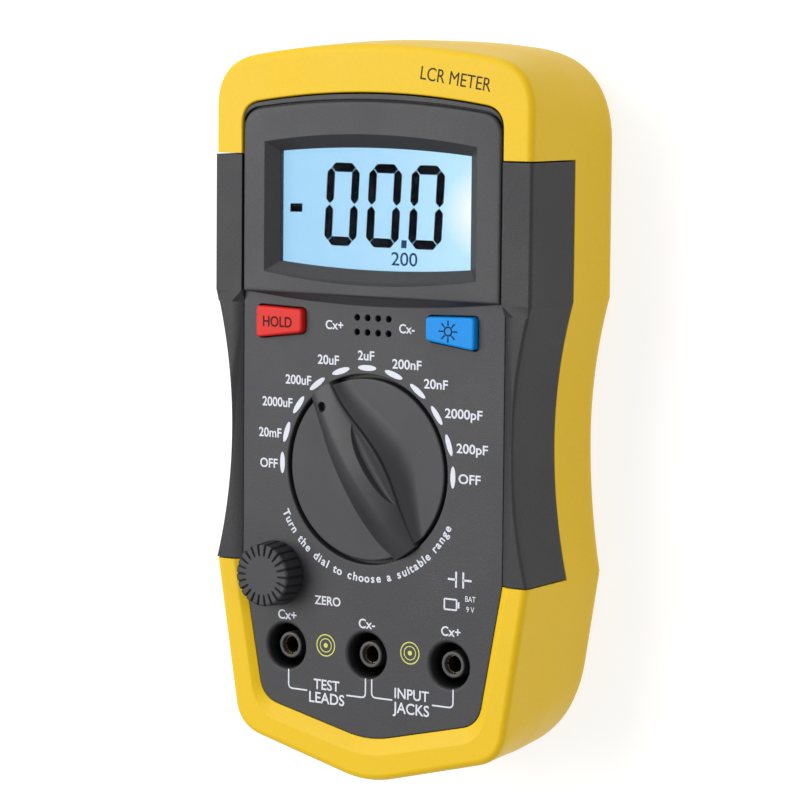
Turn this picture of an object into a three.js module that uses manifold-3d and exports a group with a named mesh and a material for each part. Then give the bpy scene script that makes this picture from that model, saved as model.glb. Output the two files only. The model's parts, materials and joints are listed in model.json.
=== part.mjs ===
// Handheld capacitance meter, millimetres. It lies on its back: +X is to the meter's right,
// +Y runs towards the display end and +Z comes out of the face. The origin is the centre of
// the back, on the surface that the meter rests on.
import * as THREE from 'three';
import { mergeVertices } from 'three/addons/utils/BufferGeometryUtils.js';
import Module from 'manifold-3d';

const wasm = await Module();
wasm.setup();

// ---------- driving dimensions ----------
const HALF_WIDTH = 45;
const TOP_Y = 89;
const CHIN_Y = -89.6;
const GAP = 0.3;
const WALL = 2.8;

const PARTING_Z = 20;
const PANEL_Z = 38.2;
const RIM_Z = PANEL_Z + 0.9;
const SHELF_Z = PANEL_Z + 1.5;
const CROWN_Z = PANEL_Z + 2.2;
const PLATE_BOTTOM_Z = PANEL_Z - 2.4;
const SKIRT_BOTTOM_Z = PLATE_BOTTOM_Z - 6;
const OPENING_BOTTOM_Z = 29;

const ARCH_RADIUS = 210;
const WAIST_TOP_Y = 28;
const WAIST_MID_Y = -5.5;
const WAIST_END_Y = -38.3;
const WAIST_DEPTH = 4.7;
const HIP_HALF_WIDTH = 44.7;
const SIDE_TAPER = 0.162;
const CHIN_SLOPE = 0.2586;

const PANEL_HALF_WIDTH = 37.3;
const DISPLAY_HALF_WIDTH = 36.7;
const DISPLAY_TOP_Y = 76.2;
const PANEL_CORNER = { x: 31.1, y: -71.9 };
const PANEL_VERTEX_Y = -79.2;
const GRIP_TOP_Y = 61;
const GRIP_BOTTOM_Y = WAIST_END_Y + GAP;
const SEAM_X = 37.4;

const WINDOW = { halfX: 27.2, low: 35.5, high: 62.1, arch: 1.3 };
const BEZEL = { halfX: 30.1, low: 33.1, high: 64.2, arch: 2.3 };

// The controls sit slightly left of the case's middle line.
const DIAL = { x: -1.1, y: -13.5, hole: 22.9, knob: 22, flange: 24.3, restAngle: 126 };
const DETENT_RING = { inner: 25.3, outer: 27 };
const ZERO = { x: -27.2, y: -40.7, radius: 8.1, height: 6, ribs: 22 };
const JACK = { xs: [-24.2, -0.7, 22.8], y: -58.5, recess: 5.55, tube: 7, post: 3.2, bore: 2, depth: 1.8 };
const SOCKET = { x: 0.4, y: 21.2, columns: 4, rows: 2, pitchX: 3, pitchY: 3.5, hole: 0.8 };
const BUTTON = { middleX: -1.5, outer: 31.2, inner: 17.7 };
const BUTTON_Y = { outerLow: 16.8, outerHigh: 24.6, innerLow: 18.6, innerHigh: 24.2 };
const BUTTON_TOP_Z = PANEL_Z + 1.6;

const BOARD_TOP_Z = 28.8;
const BOARD_THICKNESS = 1.6;
const BOSS = { rear: 4.6, front: 3.2, board: 2.6, split: 12, clearance: 1.75 };
const CASE_SCREWS = [[-33, 69.5], [33, 69.5], [-27.5, -69.5], [27.5, -69.5]];
const BOARD_SCREWS = [[-31, 6], [31, 6], [-7, -46.3]];

const BATTERY = { x: -2.4, y: 53, z: 13.6, sizeX: 48.5, sizeY: 26.5, sizeZ: 17.5 };
const WELL = { x0: -27, x1: 27.6, y0: 38.5, y1: 67.5, top: 23.5, wall: 1.2 };
const COVER = { x0: -28.6, x1: 28.6, y0: 34, y1: 70, thickness: 2.2 };
const STAND = { halfX: 26, axisY: 17, axisZ: 2.2, endY: -52, low: 0.9, high: 3.5, pin: 1.2 };
const PAN_TOP_Z = 6;

// ---------- materials ----------
function plastic(color, roughness) {
  return new THREE.MeshStandardMaterial({ color, roughness, metalness: 0 });
}
function metal(color, roughness) {
  return new THREE.MeshStandardMaterial({ color, roughness, metalness: 1 });
}
const YELLOW = plastic(0xf0c230, 0.42);
const GREY = plastic(0x5b5b5e, 0.62);
const GRIP_GREY = plastic(0x515154, 0.7);
const BLACK = plastic(0x1a1a1c, 0.5);
const RED = plastic(0xdc3c34, 0.45);
const BLUE = plastic(0x2e8fe0, 0.45);
const WHITE = plastic(0xe8e8e4, 0.5);
const CLEAR = plastic(0xdfeaf0, 0.08);
const LIGHT_BLUE = plastic(0xafdafa, 0.3);
const BOARD_GREEN = plastic(0x1f6b3a, 0.5);
const BRASS = metal(0xc9a24a, 0.3);
const STEEL = metal(0xb8bcc0, 0.32);
const RED_WIRE = plastic(0xb02020, 0.5);

// ---------- solids ----------
function toSolid(geometry) {
  const bare = geometry.clone();
  bare.deleteAttribute('normal');
  bare.deleteAttribute('uv');
  const merged = mergeVertices(bare, 1e-4);
  const vertProperties = new Float32Array(merged.attributes.position.array);
  const triVerts = new Uint32Array(merged.index.array);
  return new wasm.Manifold(new wasm.Mesh({ numProp: 3, vertProperties, triVerts }));
}

function toGeometry(manifold) {
  const mesh = manifold.getMesh();
  const geometry = new THREE.BufferGeometry();
  const positions = new Float32Array(mesh.vertProperties);
  geometry.setAttribute('position', new THREE.BufferAttribute(positions, 3));
  geometry.setIndex(new THREE.BufferAttribute(new Uint32Array(mesh.triVerts), 1));
  geometry.computeVertexNormals();
  return geometry;
}

function block(x0, x1, y0, y1, z0, z1) {
  const geometry = new THREE.BoxGeometry(x1 - x0, y1 - y0, z1 - z0);
  geometry.translate((x0 + x1) / 2, (y0 + y1) / 2, (z0 + z1) / 2);
  return toSolid(geometry);
}

function rod(x, y, radius, z0, z1, sides = 20) {
  const geometry = new THREE.CylinderGeometry(radius, radius, z1 - z0, sides);
  geometry.rotateX(Math.PI / 2);
  geometry.translate(x, y, (z0 + z1) / 2);
  return toSolid(geometry);
}

function rodAlongX(x0, x1, y, z, radius, sides = 14) {
  const geometry = new THREE.CylinderGeometry(radius, radius, x1 - x0, sides);
  geometry.rotateZ(Math.PI / 2);
  geometry.translate((x0 + x1) / 2, y, z);
  return toSolid(geometry);
}

function turned(profile, sides = 24) {
  const geometry = new THREE.LatheGeometry(profile.map(([r, z]) => new THREE.Vector2(r, z)), sides);
  geometry.rotateX(Math.PI / 2);
  return toSolid(geometry);
}

function prism(points, z0, z1) {
  const shape = new THREE.Shape(points);
  const geometry = new THREE.ExtrudeGeometry(shape, { depth: z1 - z0, bevelEnabled: false });
  geometry.translate(0, 0, z0);
  return toSolid(geometry);
}

// A profile in X and Z, drawn out along Y.
function beam(profile, y0, y1) {
  const shape = new THREE.Shape(profile.map(([x, z]) => new THREE.Vector2(x, z)));
  const geometry = new THREE.ExtrudeGeometry(shape, { depth: y1 - y0, bevelEnabled: false });
  geometry.rotateX(Math.PI / 2);
  geometry.translate(0, y1, 0);
  return toSolid(geometry);
}

// Rings of equal length, anticlockwise from above, joined from the lowest to the highest.
function loft(rings) {
  const count = rings[0].points.length;
  const positions = rings.flatMap(({ points, z }) => points.flatMap((p) => [p.x, p.y, z]));
  const index = [];
  for (let level = 0; level + 1 < rings.length; level += 1) {
    for (let i = 0; i < count; i += 1) {
      const a = level * count + i;
      const b = level * count + ((i + 1) % count);
      index.push(a, b, b + count, a, b + count, a + count);
    }
  }
  const last = (rings.length - 1) * count;
  for (const [a, b, c] of THREE.ShapeUtils.triangulateShape(rings[0].points, [])) {
    index.push(a, c, b);
  }
  for (const [a, b, c] of THREE.ShapeUtils.triangulateShape(rings.at(-1).points, [])) {
    index.push(last + a, last + b, last + c);
  }
  const geometry = new THREE.BufferGeometry();
  geometry.setAttribute('position', new THREE.BufferAttribute(new Float32Array(positions), 3));
  geometry.setIndex(index);
  return toSolid(geometry);
}

function joined(...solids) {
  return solids.reduce((sum, next) => sum.add(next));
}

function cut(solid, ...tools) {
  return tools.reduce((rest, tool) => rest.subtract(tool), solid);
}

// ---------- outlines ----------
function mirrored(half) {
  const left = half.slice(1, -1).reverse().map((p) => new THREE.Vector2(-p.x, p.y));
  return [...half, ...left].reverse();
}

function bend(from, corner, to, steps) {
  return new THREE.QuadraticBezierCurve(from, corner, to).getPoints(steps);
}

function inset(points, distance) {
  const count = points.length;
  return points.map((point, i) => {
    const before = points[(i + count - 1) % count];
    const after = points[(i + 1) % count];
    const tangent = after.clone().sub(before).normalize();
    return new THREE.Vector2(point.x - tangent.y * distance, point.y + tangent.x * distance);
  });
}

function sideHalfWidth(y) {
  if (y >= WAIST_TOP_Y) return HALF_WIDTH;
  if (y >= WAIST_MID_Y) {
    const t = (y - WAIST_MID_Y) / (WAIST_TOP_Y - WAIST_MID_Y);
    return HALF_WIDTH - WAIST_DEPTH * (1 - t * t);
  }
  const t = (WAIST_MID_Y - y) / (WAIST_MID_Y - WAIST_END_Y);
  const narrow = HALF_WIDTH - WAIST_DEPTH;
  return narrow + (HIP_HALF_WIDTH - narrow) * t * t;
}

// The outline of the whole case at one height. topY, topCorner and chinCorner change
// between the front and the back, so that the corners grow rounder towards the back.
function caseOutline({ topY, topCorner, chinCorner }) {
  const archX = HALF_WIDTH - topCorner;
  const half = [];
  const archSteps = 4;
  for (let i = 0; i < archSteps; i += 1) {
    const x = (archX * i) / archSteps;
    half.push(new THREE.Vector2(x, topY - (x * x) / (2 * ARCH_RADIUS)));
  }
  const archEnd = new THREE.Vector2(archX, topY - (archX * archX) / (2 * ARCH_RADIUS));
  const apex = new THREE.Vector2(HALF_WIDTH, archEnd.y - (archX * topCorner) / ARCH_RADIUS);
  half.push(...bend(archEnd, apex, new THREE.Vector2(HALF_WIDTH, apex.y - topCorner), 6));

  const waistSteps = 5;
  for (let i = 0; i < waistSteps; i += 1) {
    const y = WAIST_TOP_Y + ((WAIST_MID_Y - WAIST_TOP_Y) * i) / waistSteps;
    half.push(new THREE.Vector2(sideHalfWidth(y), y));
  }
  for (let i = 0; i <= waistSteps; i += 1) {
    const y = WAIST_MID_Y + ((WAIST_END_Y - WAIST_MID_Y) * i) / waistSteps;
    half.push(new THREE.Vector2(sideHalfWidth(y), y));
  }
  const sideX = (y) => HIP_HALF_WIDTH + SIDE_TAPER * (y - WAIST_END_Y);
  const sideAtZero = HIP_HALF_WIDTH - SIDE_TAPER * WAIST_END_Y;
  const cornerY = (CHIN_Y + CHIN_SLOPE * sideAtZero) / (1 - CHIN_SLOPE * SIDE_TAPER);
  const corner = new THREE.Vector2(sideX(cornerY), cornerY);
  const sideStart = new THREE.Vector2(sideX(cornerY + chinCorner), cornerY + chinCorner);
  const chinStart = new THREE.Vector2(corner.x - chinCorner, corner.y - CHIN_SLOPE * chinCorner);
  half.push(...bend(sideStart, corner, chinStart, 5));
  const vertexX = 6;
  half.push(new THREE.Vector2(vertexX, CHIN_Y + CHIN_SLOPE * vertexX));
  half.push(new THREE.Vector2(0, CHIN_Y + CHIN_SLOPE * vertexX * 0.4));
  return mirrored(half);
}

const FRONT = { topY: TOP_Y - 1.1, topCorner: 11, chinCorner: 5 };
const MIDDLE = { topY: TOP_Y, topCorner: 15, chinCorner: 10 };
const BACK = { topY: TOP_Y, topCorner: 20, chinCorner: 16 };

// The front panel's outline: arched top, straight sides and a shallow V at the chin.
// grow widens it all round; the sides are narrower beside the display than below it.
function panelOutline(grow) {
  const half = [];
  const cornerSize = 4.5;
  const archX = DISPLAY_HALF_WIDTH - cornerSize;
  const archSteps = 3;
  for (let i = 0; i < archSteps; i += 1) {
    const x = (archX * i) / archSteps;
    half.push(new THREE.Vector2(x, DISPLAY_TOP_Y - (x * x) / (2 * ARCH_RADIUS)));
  }
  const archEnd = new THREE.Vector2(archX, DISPLAY_TOP_Y - (archX * archX) / (2 * ARCH_RADIUS));
  const apex = new THREE.Vector2(DISPLAY_HALF_WIDTH, archEnd.y - (archX * cornerSize) / ARCH_RADIUS);
  half.push(...bend(archEnd, apex, new THREE.Vector2(DISPLAY_HALF_WIDTH, apex.y - cornerSize), 4));
  half.push(new THREE.Vector2(DISPLAY_HALF_WIDTH, WAIST_TOP_Y + 0.2));
  half.push(new THREE.Vector2(PANEL_HALF_WIDTH, WAIST_TOP_Y - 0.2));
  half.push(new THREE.Vector2(PANEL_HALF_WIDTH, WAIST_END_Y));
  const corner = new THREE.Vector2(PANEL_CORNER.x, PANEL_CORNER.y);
  const chinRise = (PANEL_CORNER.y - PANEL_VERTEX_Y) / PANEL_CORNER.x;
  const sideRun = (PANEL_HALF_WIDTH - PANEL_CORNER.x) / (WAIST_END_Y - PANEL_CORNER.y);
  const radius = 4;
  const sideStart = new THREE.Vector2(corner.x + sideRun * radius, corner.y + radius);
  const chinStart = new THREE.Vector2(corner.x - radius, corner.y - chinRise * radius);
  half.push(...bend(sideStart, corner, chinStart, 4));
  half.push(new THREE.Vector2(5, PANEL_VERTEX_Y + chinRise * 5));
  half.push(new THREE.Vector2(0, PANEL_VERTEX_Y + chinRise * 2));
  return inset(mirrored(half), -grow);
}

// A rectangle whose upper and lower sides bow outwards.
function barrel({ halfX, low, high, arch }) {
  const steps = 6;
  const points = [];
  for (let i = 0; i <= steps; i += 1) {
    const t = (2 * i) / steps - 1;
    points.push(new THREE.Vector2(halfX * t, low - arch * (1 - t * t)));
  }
  for (let i = 0; i <= steps; i += 1) {
    const t = 1 - (2 * i) / steps;
    points.push(new THREE.Vector2(halfX * t, high + arch * (1 - t * t)));
  }
  return points;
}

function buttonOutline(side, grow) {
  const outer = BUTTON.middleX + side * (BUTTON.outer + grow);
  const inner = BUTTON.middleX + side * (BUTTON.inner - grow);
  const corners = [
    new THREE.Vector2(outer, BUTTON_Y.outerLow - grow),
    new THREE.Vector2(outer, BUTTON_Y.outerHigh + grow),
    new THREE.Vector2(inner, BUTTON_Y.innerHigh + grow),
    new THREE.Vector2(inner, BUTTON_Y.innerLow - grow),
  ];
  return side > 0 ? corners : corners.reverse();
}

// ---------- housing ----------
function caseLevels(topZ) {
  return [
    { points: inset(caseOutline(BACK), 3.2), z: 0 },
    { points: inset(caseOutline(BACK), 1), z: 1 },
    { points: inset(caseOutline(BACK), 0.2), z: 3 },
    { points: caseOutline(MIDDLE), z: PARTING_Z },
    { points: caseOutline(FRONT), z: topZ - 2 },
    { points: inset(caseOutline(FRONT), 0.6), z: topZ - 0.7 },
    { points: inset(caseOutline(FRONT), 2), z: topZ },
  ];
}

// A slab of the front that the case's lower rim must stay under.
function aboveRim(y0, y1) {
  return block(-60, 60, y0, y1, RIM_Z, SHELF_Z + 5);
}

function bevelledPanelHole() {
  const width = 2.2;
  const mouth = panelOutline(GAP + width);
  const throat = panelOutline(GAP);
  return loft([
    { points: throat, z: OPENING_BOTTOM_Z },
    { points: throat, z: PANEL_Z - 0.2 },
    { points: mouth, z: RIM_Z + 0.01 },
    { points: mouth, z: SHELF_Z + 5 },
  ]);
}

function gripPocket(side) {
  const inner = DISPLAY_HALF_WIDTH - 1;
  const x0 = side > 0 ? inner : -60;
  const x1 = side > 0 ? 60 : -inner;
  return block(x0, x1, GRIP_BOTTOM_Y - GAP, GRIP_TOP_Y + GAP, PARTING_Z, SHELF_Z + 5);
}

function rearCase() {
  const shell = loft(caseLevels(SHELF_Z));
  const hollow = loft([
    { points: inset(caseOutline(BACK), WALL + 0.6), z: WALL },
    { points: inset(caseOutline(MIDDLE), WALL), z: PARTING_Z },
    { points: inset(caseOutline(FRONT), WALL), z: RIM_Z - 4 },
  ]);
  const collar = prism(panelOutline(GAP + 1.8), OPENING_BOTTOM_Z, 60);
  const upperHole = prism(panelOutline(GAP), OPENING_BOTTOM_Z, SHELF_Z + 5);
  const lowerHole = bevelledPanelHole().intersect(block(-60, 60, -95, WAIST_TOP_Y, 0, 60));
  const opened = cut(shell, cut(hollow, collar), upperHole, lowerHole, aboveRim(-95, WAIST_TOP_Y));
  const pocketed = cut(opened, gripPocket(1), gripPocket(-1));
  const posts = CASE_SCREWS.map(([x, y]) => rod(x, y, BOSS.rear, 1, BOSS.split, 16));
  const body = joined(pocketed, ...backWalls(), ...posts);
  const screwHoles = CASE_SCREWS.flatMap(([x, y]) => [
    rod(x, y, BOSS.clearance, -1, BOSS.split + 1, 12),
    rod(x, y, 3.3, -1, 3.4, 16),
  ]);
  return cut(body, ...backPockets(), ...screwHoles);
}

// A block round one of the recesses in the back, margin wider on every side.
function around({ x0, x1, y0, y1 }, margin, z0, z1) {
  return block(x0 - margin, x1 + margin, y0 - margin, y1 + margin, z0, z1);
}

const STAND_BOX = { x0: -STAND.halfX, x1: STAND.halfX, y0: STAND.endY, y1: STAND.axisY + 1.9 };

// The material behind the battery well, the stand's pan and the cover's ledge.
function backWalls() {
  return [
    around(WELL, WELL.wall, 1, WELL.top + WELL.wall),
    around(STAND_BOX, 3.5, 1, PAN_TOP_Z),
    block(-9 - WALL, 9 + WALL, STAND.endY - 9, STAND.endY, 1, PAN_TOP_Z),
    around({ ...COVER, y0: COVER.y0 - 5 }, 2, 1, COVER.thickness + 2.6),
  ];
}

// The recesses in the back and the openings in them.
function backPockets() {
  return [
    block(WELL.x0, WELL.x1, WELL.y0, WELL.y1, -1, WELL.top),
    block(WELL.x1 - 5, WELL.x1 + 3, WELL.y0 + 1.5, WELL.y0 + 7, WELL.top - 4, WELL.top + 3),
    around(COVER, GAP, -1, COVER.thickness + GAP),
    rod(BATTERY.x, COVER.y0 + 2, 1.5, 0, 4.4, 12),
    around(STAND_BOX, GAP, -1, STAND.high + 0.5),
    rodAlongX(-STAND.halfX - 2.5, STAND.halfX + 2.5, STAND.axisY, STAND.axisZ, STAND.pin + GAP),
    block(-9, 9, STAND.endY - 6, STAND.endY, -1, STAND.high + 0.5),
  ];
}

function frontCase() {
  const outline = panelOutline(0);
  const plate = prism(outline, PLATE_BOTTOM_Z, PANEL_Z);
  const crownSteps = 8;
  const crown = [[-DISPLAY_HALF_WIDTH - 1, PLATE_BOTTOM_Z]];
  for (let i = 0; i <= crownSteps; i += 1) {
    const t = (2 * i) / crownSteps - 1;
    crown.push([(DISPLAY_HALF_WIDTH + 1) * t, SHELF_Z + (CROWN_Z - SHELF_Z) * (1 - t * t)]);
  }
  crown.push([DISPLAY_HALF_WIDTH + 1, PLATE_BOTTOM_Z]);
  const display = beam(crown.reverse(), WAIST_TOP_Y, 90).intersect(prism(outline, 30, 50));
  const skirtInside = prism(panelOutline(-1.6), 0, PLATE_BOTTOM_Z);
  const skirt = cut(prism(outline, SKIRT_BOTTOM_Z, PANEL_Z - 1), skirtInside);
  const tubes = JACK.xs.map((x) => rod(x, JACK.y, JACK.tube, 22, PANEL_Z - 1, 24));
  const bosses = CASE_SCREWS.map(([x, y]) => rod(x, y, BOSS.front, BOSS.split + GAP, PANEL_Z - 1, 14));
  const boardPosts = BOARD_SCREWS.map(([x, y]) => rod(x, y, BOSS.board, BOARD_TOP_Z + GAP, PANEL_Z - 1, 12));
  const ring = cut(
    rod(DIAL.x, DIAL.y, DETENT_RING.outer, 30, PANEL_Z - 1, 40),
    prism(detentOutline(), 20, PLATE_BOTTOM_Z).translate([DIAL.x, DIAL.y, 0]),
  );
  const body = joined(plate, display, skirt, ring, ...tubes, ...bosses, ...boardPosts);

  const bezel = loft([
    { points: barrel(WINDOW), z: PANEL_Z - 0.6 },
    { points: barrel(BEZEL), z: CROWN_Z + 0.1 },
  ]);
  const holes = [
    bezel,
    prism(barrel(WINDOW), 30, PANEL_Z),
    rod(DIAL.x, DIAL.y, DIAL.hole, 20, 50, 48),
    rod(ZERO.x, ZERO.y, 3.6, 20, 50, 16),
    prism(buttonOutline(-1, GAP), 20, 50),
    prism(buttonOutline(1, GAP), 20, 50),
    ...JACK.xs.map((x) => rod(x, JACK.y, JACK.recess, 20, 50, 24)),
    ...CASE_SCREWS.map(([x, y]) => rod(x, y, BOSS.clearance, 10, 25, 10)),
    ...BOARD_SCREWS.map(([x, y]) => rod(x, y, 1.3, 27, 34.5, 10)),
    ...socketHoles(SOCKET.hole, 30, 50),
  ];
  return cut(body, ...holes);
}

// The inside of the detent ring: one shallow notch for each step of the range switch.
function detentOutline() {
  const steps = 20;
  const points = [];
  for (let i = 0; i < steps; i += 1) {
    const centre = THREE.MathUtils.degToRad(DIAL.restAngle) + (2 * Math.PI * i) / steps;
    for (const [turn, depth] of [[-0.1, 0], [-0.03, 0.6], [0.03, 0.6], [0.1, 0]]) {
      const radius = DETENT_RING.inner + depth;
      points.push(new THREE.Vector2(radius * Math.cos(centre + turn), radius * Math.sin(centre + turn)));
    }
  }
  return points;
}

function socketHoles(radius, z0, z1) {
  const holes = [];
  for (let column = 0; column < SOCKET.columns; column += 1) {
    for (let row = 0; row < SOCKET.rows; row += 1) {
      const x = SOCKET.x + (column - (SOCKET.columns - 1) / 2) * SOCKET.pitchX;
      const y = SOCKET.y + (row - (SOCKET.rows - 1) / 2) * SOCKET.pitchY;
      holes.push(rod(x, y, radius, z0, z1, 8));
    }
  }
  return holes;
}

// A side grip: flush with the display panel at the top, lower and bevelled beside the dial.
function grip(side) {
  const stepLength = 1.4;
  const low = PARTING_Z + GAP;
  const far = HALF_WIDTH + 15;
  const lipZ = 35.5;
  const upperProfile = [
    [SEAM_X + 0.4, low], [far, low], [far, SHELF_Z], [SEAM_X, SHELF_Z], [SEAM_X, lipZ], [SEAM_X + 0.4, lipZ],
  ];
  const innerX = PANEL_HALF_WIDTH + 0.5;
  const lowerProfile = [
    [innerX, low], [far, low], [far, RIM_Z], [innerX + 1.8, RIM_Z], [innerX, PANEL_Z],
  ];
  const upper = beam(upperProfile, WAIST_TOP_Y, GRIP_TOP_Y);
  const lower = beam(lowerProfile, GRIP_BOTTOM_Y, WAIST_TOP_Y);
  const step = loft([
    { points: stepFoot(stepLength), z: RIM_Z - 0.5 },
    { points: stepFoot(stepLength), z: RIM_Z },
    { points: stepFoot(0.01), z: SHELF_Z },
  ]);
  const right = joined(upper, lower, step).intersect(loft(caseLevels(SHELF_Z)));
  return side > 0 ? right : right.scale([-1, 1, 1]);
}

function stepFoot(length) {
  const low = WAIST_TOP_Y - length;
  return [
    new THREE.Vector2(PANEL_HALF_WIDTH + 2.3, low),
    new THREE.Vector2(55, low),
    new THREE.Vector2(55, WAIST_TOP_Y + 0.5),
    new THREE.Vector2(PANEL_HALF_WIDTH + 2.3, WAIST_TOP_Y + 0.5),
  ];
}

// ---------- display ----------
function lcdWindow() {
  const { halfX, low, high, arch } = WINDOW;
  const outline = barrel({ halfX: halfX - GAP, low: low + GAP, high: high - GAP, arch });
  return prism(outline, PLATE_BOTTOM_Z + 0.3, PANEL_Z - 0.8);
}

const LCD = { halfX: 29, low: 31.5, high: 64.5, top: PLATE_BOTTOM_Z - GAP };
const LCD_BOTTOM_Z = LCD.top - 1.9;

function lcdGlass() {
  return block(-LCD.halfX, LCD.halfX, LCD.low, LCD.high, LCD_BOTTOM_Z, LCD.top);
}

function lcdHolder() {
  const outer = block(-31.6, 31.6, 29.8, 66.2, BOARD_TOP_Z + GAP, LCD.top);
  const pocket = block(-LCD.halfX - GAP, LCD.halfX + GAP, LCD.low - GAP, LCD.high + GAP, 20, 40);
  return cut(outer, pocket);
}

// ---------- range switch, drawn about its own axis with the handle along +X ----------
function rangeKnob() {
  const disc = turned([
    [0, 34.4], [DIAL.flange, 34.4], [DIAL.flange, 35.5], [DIAL.knob, 35.5],
    [DIAL.knob, PANEL_Z + 0.3], [DIAL.knob - 0.6, PANEL_Z + 0.8], [0, PANEL_Z + 0.8],
  ], 48);
  const handle = loft([
    { points: handleOutline(1.25, 1), z: PANEL_Z },
    { points: handleOutline(1.1, 0.97), z: PANEL_Z + 2.4 },
    { points: handleOutline(0.95, 0.85), z: PANEL_Z + 4.6 },
    { points: handleOutline(0.7, 0.72), z: PANEL_Z + 5.9 },
  ]);
  const skirtLimit = rod(0, 0, 22.6, 30, 60, 48);
  return joined(disc, handle.intersect(skirtLimit));
}

function handleOutline(widthScale, lengthScale) {
  const half = [[22.4, 1.7], [19, 3.1], [10, 4.9], [0, 5.3], [-10, 4.9], [-18, 3.9], [-21, 2.8]];
  const lower = half.map(([x, y]) => new THREE.Vector2(x * lengthScale, -y * widthScale)).reverse();
  const upper = half.map(([x, y]) => new THREE.Vector2(x * lengthScale, y * widthScale));
  return [...lower, ...upper];
}

const ROTOR = { radius: 24.6, low: 30.4, high: 34.1, boreInner: 13, boreZ: 32.2, bore: 1.6 };

function radialBore(angle) {
  const geometry = new THREE.CylinderGeometry(ROTOR.bore, ROTOR.bore, 20, 12);
  geometry.rotateZ(Math.PI / 2);
  geometry.translate(ROTOR.boreInner + 10, 0, ROTOR.boreZ);
  geometry.rotateZ(angle);
  return toSolid(geometry);
}

function switchRotor() {
  const disc = rod(0, 0, ROTOR.radius, ROTOR.low, ROTOR.high, 40);
  return cut(disc, radialBore(0), radialBore(Math.PI));
}

function wiperContact(angle) {
  const strip = joined(
    block(7, 19, -1.6, 1.6, ROTOR.low - GAP - 0.4, ROTOR.low - GAP),
    block(7, 9, -1.6, 1.6, BOARD_TOP_Z + GAP, ROTOR.low - GAP),
    block(17, 19, -1.6, 1.6, BOARD_TOP_Z + GAP, ROTOR.low - GAP),
  );
  return strip.rotate([0, 0, angle]);
}

class Coil extends THREE.Curve {
  constructor(radius, start, end, turns) {
    super();
    Object.assign(this, { radius, start, end, turns });
  }

  getPoint(t, target = new THREE.Vector3()) {
    const angle = t * this.turns * 2 * Math.PI;
    const along = this.start + (this.end - this.start) * t;
    return target.set(along, this.radius * Math.cos(angle), this.radius * Math.sin(angle));
  }
}

function roundSection(radius, sides) {
  const shape = new THREE.Shape();
  for (let i = 0; i < sides; i += 1) {
    const angle = (2 * Math.PI * i) / sides;
    const x = radius * Math.cos(angle);
    const y = radius * Math.sin(angle);
    if (i === 0) shape.moveTo(x, y);
    else shape.lineTo(x, y);
  }
  return shape;
}

function detentSpring(turn) {
  const path = new Coil(1.05, ROTOR.boreInner + 0.8, 21.9, 5);
  const geometry = new THREE.ExtrudeGeometry(roundSection(0.22, 4), { steps: 40, extrudePath: path });
  geometry.translate(0, 0, ROTOR.boreZ);
  geometry.rotateZ(turn);
  return toSolid(geometry);
}

function detentBall(turn) {
  const geometry = new THREE.SphereGeometry(1.2, 10, 8);
  geometry.translate(23.7, 0, ROTOR.boreZ);
  geometry.rotateZ(turn);
  return toSolid(geometry);
}

// ---------- zero control, drawn about its own axis ----------
function zeroKnob() {
  const outline = [];
  const perRib = 4;
  for (let i = 0; i < ZERO.ribs * perRib; i += 1) {
    const angle = (2 * Math.PI * i) / (ZERO.ribs * perRib);
    const radius = i % perRib === 0 ? ZERO.radius - 0.7 : ZERO.radius;
    outline.push(new THREE.Vector2(radius * Math.cos(angle), radius * Math.sin(angle)));
  }
  const base = PANEL_Z + 0.4;
  const body = loft([
    { points: outline, z: base },
    { points: outline.map((p) => p.clone().multiplyScalar(0.97)), z: base + ZERO.height - 0.9 },
    { points: outline.map((p) => p.clone().multiplyScalar(0.92)), z: base + ZERO.height },
  ]);
  return cut(body, rod(0, 0, 3.2, 30, base + 3.6, 16));
}

function zeroPotBody() {
  return cut(rod(0, 0, 7.6, BOARD_TOP_Z + GAP, 33.4, 20), rod(0, 0, 3.2, 30.2, 36, 16));
}

// ---------- push buttons ----------
const FLANGE_Z = 34.2;

function pushButton(side) {
  const flange = prism(buttonOutline(side, 0.9), FLANGE_Z, PLATE_BOTTOM_Z - GAP);
  const cap = loft([
    { points: buttonOutline(side, 0), z: 34.6 },
    { points: buttonOutline(side, 0), z: BUTTON_TOP_Z - 0.5 },
    { points: buttonOutline(side, -0.6), z: BUTTON_TOP_Z },
  ]);
  return joined(flange, cap);
}

const SWITCH = { x: 24.5, y: 20.9, half: 3, top: 32.3, plunger: 1.6 };

function switchBody(side) {
  const x = BUTTON.middleX + side * SWITCH.x;
  const { y, half, top } = SWITCH;
  const body = block(x - half, x + half, y - half, y + half, BOARD_TOP_Z + GAP, top);
  return cut(body, rod(x, y, SWITCH.plunger + GAP, 30.2, 35, 14));
}

function switchPlunger(side) {
  const x = BUTTON.middleX + side * SWITCH.x;
  return rod(x, SWITCH.y, SWITCH.plunger, SWITCH.top - 0.6, FLANGE_Z - GAP, 14);
}

// ---------- input jacks ----------
function jackInsulator(x) {
  const post = rod(x, JACK.y, JACK.post, 20, PANEL_Z - JACK.depth, 20);
  const foot = rod(x, JACK.y, JACK.recess - GAP, 20, 23, 20);
  return cut(joined(post, foot), rod(x, JACK.y, JACK.post - 0.65, 15, 45, 20));
}

function jackSocket(x) {
  const outer = JACK.post - 0.65 - GAP * 0.5;
  const tube = rod(x, JACK.y, outer, 18, PANEL_Z - JACK.depth - 0.9, 18);
  const flange = rod(x, JACK.y, 4, 17, 19.7, 18);
  return cut(joined(tube, flange), rod(x, JACK.y, JACK.bore, 19, 45, 18));
}

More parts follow.
